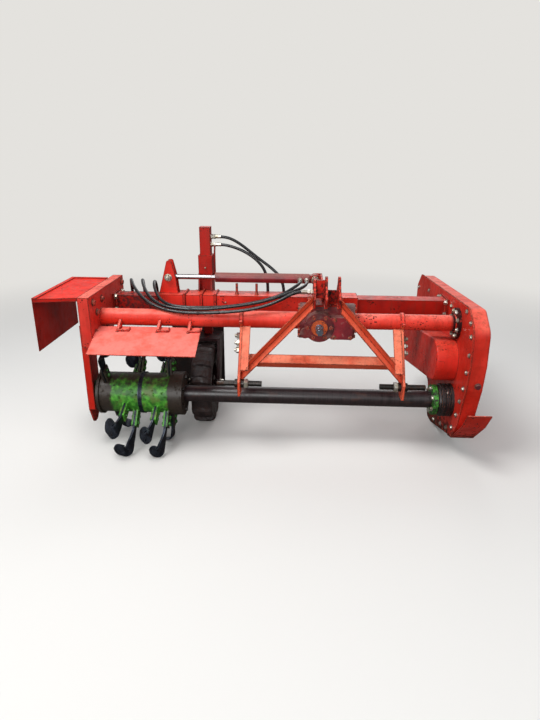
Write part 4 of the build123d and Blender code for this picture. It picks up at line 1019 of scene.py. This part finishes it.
bolts("stud-nuts", "m12stud", onStuds, boltPaint, "carriage", "zinc_steel")
wire = 5.0                     # millimetres, radius of the cover's staples and the lift pipe
staples = [
    bead([
        (x, -0.014, 0.6655), (x, -0.064, 0.6585), (x + 0.056, -0.064, 0.6585), (x + 0.056, -0.030, 0.6632),
    ], radius=wire, ripple=0)
    for x in (-0.779, -0.573, -0.414)
]
meshPiece("cover-staples", *joined(*staples), enamel["tube"], "frame", "red_paint")
pipe = bead([
    (-0.337, 0.418, 1.020), (-0.337, 0.412, 1.006), (-0.337, 0.404, 0.990), (-0.337, 0.402, 0.970),
    (-0.337, 0.402, 0.870), (-0.340, 0.402, 0.862), (-0.352, 0.402, 0.858),
], radius=wire, ripple=0, step=4.0)
meshPiece("lift-pipe", *pipe, enamel["post"], "carriage", "red_paint")
bolts("case-plug", "m16", [((1.011, -0.229, 0.464), toFront)], castMaroon, "frame", "maroon_paint")
print("small fittings placed")


# Mud board behind the wheel: a rubber sheet hung from a steel strip on the post
board = {
    "left": -0.640, "right": -0.316, "low": 0.050, "high": 0.640, "y": 0.556, "t": 0.008,
    "columns": 40, "rows": 48, "sway": 0.006, "bow": 0.004, "worn": (0.006, 0.003), "strip": 0.006,
}


def boardForm():
    # y(u, v) = y + sway sin(9 u) (1 - v) + bow (1 - v)^2, straight at the strip and waved at the foot,
    # whose edge is worn in shallow scallops: low + worn[0] sin(7 u) + worn[1] sin(31 u)
    b = board
    u, v = np.meshgrid(np.linspace(0, 1, b["columns"]), np.linspace(0, 1, b["rows"]))
    foot = b["low"] + b["worn"][0] * np.sin(7 * u) + b["worn"][1] * np.sin(31 * u)
    x = b["left"] + u * (b["right"] - b["left"])
    z = foot + v * (b["high"] - foot)
    y = b["y"] + b["sway"] * np.sin(9 * u) * (1 - v) + b["bow"] * (1 - v) ** 2
    front = np.stack([x, y, z], -1).reshape(-1, 3)
    back = front + np.array([0.0, b["t"], 0.0])
    n, rows, columns = len(front), b["rows"], b["columns"]
    faces = gridFaces(rows, columns)
    rim = list(range(columns)) + [r * columns + columns - 1 for r in range(1, rows)]
    rim += [(rows - 1) * columns + c for c in range(columns - 2, -1, -1)]
    rim += [r * columns for r in range(rows - 2, 0, -1)]
    sides = [(a, c, c + n, a + n) for a, c in zip(rim, rim[1:] + rim[:1])]
    return placed(np.concatenate([front, back])), faces[:, ::-1].tolist() + (faces + n).tolist() + sides


def slab(low, high):
    # a plain block between two corners
    (x0, y0, z0), (x1, y1, z1) = low, high
    verts = [(x, y, z) for x in (x0, x1) for y in (y0, y1) for z in (z0, z1)]
    faces = [(0, 1, 3, 2), (4, 6, 7, 5), (0, 4, 5, 1), (2, 3, 7, 6), (0, 2, 6, 4), (1, 5, 7, 3)]
    return placed(np.array(verts)), faces


meshPiece("hood-rims", *joined(
    slab((-1.152, -0.165, 0.837), (-1.130, 0.345, 0.843)),
    slab((-1.130, 0.325, 0.837), (-0.945, 0.345, 0.843)),
), enamel["hood"], "frame", "red_paint")

# plated hexagon nuts that hold the lower hitch pins against the brackets, in millimetres
pinNut = {"half": 22.0, "length": 22.0, "round": 1.8}
half, length, bevel = pinNut["half"], pinNut["length"], pinNut["round"]
pinNutForm = turned([
    (0, 0.01), (0, half * 0.9), (bevel, half, 6),
    (length - bevel, half, 6), (length, half * 0.9), (length, 0.01),
])
pinNutSpots = [((-0.1267, *hitchPins), toRight), ((0.6517, *hitchPins), toLeft)]
meshPiece("pin-lock-nuts", *repeated(pinNutForm, pinNutSpots), zinc, "frame", "zinc_steel")
meshPiece("mast-web", *slab((0.282, 0.010, 0.799), (0.336, 0.018, 0.868)), greasyMast, "frame", "red_paint")
bolts("mast-web-bolt", "m12", [((0.293, 0.010, 0.852), toFront)], barSteel, "frame", "zinc_steel")

meshPiece("mud-board", *boardForm(), tyreRubber, "carriage", "tyre", 50)
strip = board["y"] - board["strip"]
meshPiece("mud-board-strip", *joined(
    slab((board["left"] + 0.01, strip, 0.596), (board["right"] - 0.01, strip + board["strip"], 0.636)),
    slab((-0.408, 0.4470, 0.606), (-0.368, strip + 0.001, 0.618)),
), muddyLeg, "carriage", "red_paint")
onStrip = facing(toFront, [(x, strip, 0.624) for x in (-0.610, -0.530, -0.450, -0.345)])
bolts("mud-board-bolts", "m10", onStrip, barSteel, "carriage", "zinc_steel")
print("mud board hung")

# CAD nodes that stay get their materials
nodeMaterials = {
    enamel["tube"]: "left_tube cover_lugs tube_straps",
    enamel["plate"]: "end_plate",
    enamel["hood"]: "side_hood",
    enamel["cover"]: "front_cover",
    enamel["bar"]: "hitch_bracket_left hitch_bracket_right cross_bar",
    enamel["frame"]: "bearing_arm rear_drive beam_sleeve rod_bracket",
    enamel["case"]: "case_plate drive_case case_guard",
    enamel["post"]: "post_clamp post_gussets wheel_post wheel_leg",
    greasyTube: "right_tube",
    bareBeam: "main_beam",
    greasyMast: "mast_base mast_ears mast_side cylinder_anchor",
    muddyLeg: "fork_arm wheel_rim",
    castMaroon: "gearbox_housing",
    lidMaroon: "gearbox_lid",
    cylinderMaroon: "shift_barrel",
    drumEnamel: "rotor_drum",
    greenEnamel: "rotor_bearing drive_flange",
    pipePaint: "rotor_shaft",
    chrome: "shift_rod",
    boltPaint: "clamp_studs",
    barSteel: "hitch_pin_left hitch_pin_right",
    sealRubber: "input_seal",
}
for material, labels in nodeMaterials.items():
    for label in labels.split():
        slots = nodes[label].data.materials
        slots.clear()
        slots.append(material)
print("CAD nodes dressed:", sum(len(labels.split()) for labels in nodeMaterials.values()))


# Floor and light
stage = {
    "half": 30.0,              # half the floor's side
    "pale": "#e4e2de",
    "wet": "#6a655f",          # what the machine sees of the floor, as dark as the wet yard was
    "clearFrom": 2.2,          # the floor takes the shadow up to here, in metres from its middle
    "clearTo": 5.0,
    "skyColour": "#e6ebf2",
    "sky": 0.36,
    "mirrored": 0.35,          # how much of the backdrop a mirror sees
    "aim": (0, 0, 0.5),
    "lamps": [                 # name, place, size, power
        ("key", (-1.6, -1.6, 4.4), 2.0, 150),
        ("front", (-1.4, -6.6, 2.6), 3.0, 180),
        ("fill", (3.0, -3.0, 2.4), 3.0, 36),
        ("back", (0.4, 3.2, 3.0), 3.0, 50),
    ],
}


def paleFloor():
    # diffuse floor that keeps the shadow; far off, the camera sees the plain backdrop colour
    f = Finish("plain pale floor", Roughness=0.9)
    seen = f.add("LightPath", output="Is Camera Ray")
    f.tree.links.new(f.coat(stage["wet"], stage["pale"], seen), f.shader.node.inputs["Base Color"])
    away = f.add("VectorMath", (f.place,), "Value", operation="LENGTH")
    far = f.add("MapRange", (away, stage["clearFrom"], stage["clearTo"]), **smooth)
    share = f.add("Math", (far, seen), **times)
    f.add("OutputMaterial", (f.add("MixShader", (share, f.shader, f.add("Emission", (stage["pale"],)))),))
    return f.material


def makeSky():
    # soft light at one strength; the camera sees the backdrop colour, and mirrors a part of it
    world = bpy.data.worlds.new("soft sky")
    bpy.context.scene.world = world
    world.use_nodes = True
    tree = world.node_tree
    tree.nodes.clear()
    direct = addNode(tree, "LightPath", output="Is Camera Ray")
    glossy = direct.node.outputs["Is Glossy Ray"]
    glossy = addNode(tree, "Math", (glossy, stage["mirrored"]), **times)
    seen = addNode(tree, "Math", (direct, glossy), **larger)
    light = addNode(tree, "Background", (stage["skyColour"], stage["sky"]))
    backdrop = addNode(tree, "Background", (stage["pale"], 1.0))
    addNode(tree, "OutputWorld", (addNode(tree, "MixShader", (seen, light, backdrop)),))


def makeStage():
    h = stage["half"]
    mesh = bpy.data.meshes.new("floor")
    mesh.from_pydata([(-h, -h, 0), (h, -h, 0), (h, h, 0), (-h, h, 0)], [], [(0, 1, 2, 3)])
    mesh.materials.append(paleFloor())
    addObject("floor", mesh)
    makeSky()
    for name, spot, size, power in stage["lamps"]:
        lamp = bpy.data.lights.new(name, "AREA")
        lamp.size = size
        lamp.energy = power
        light = addObject(name, lamp)
        light.location = spot
        light.rotation_euler = (Vector(stage["aim"]) - Vector(spot)).to_track_quat("-Z", "Y").to_euler()


makeStage()
bpy.context.scene.view_settings.view_transform = "Standard"
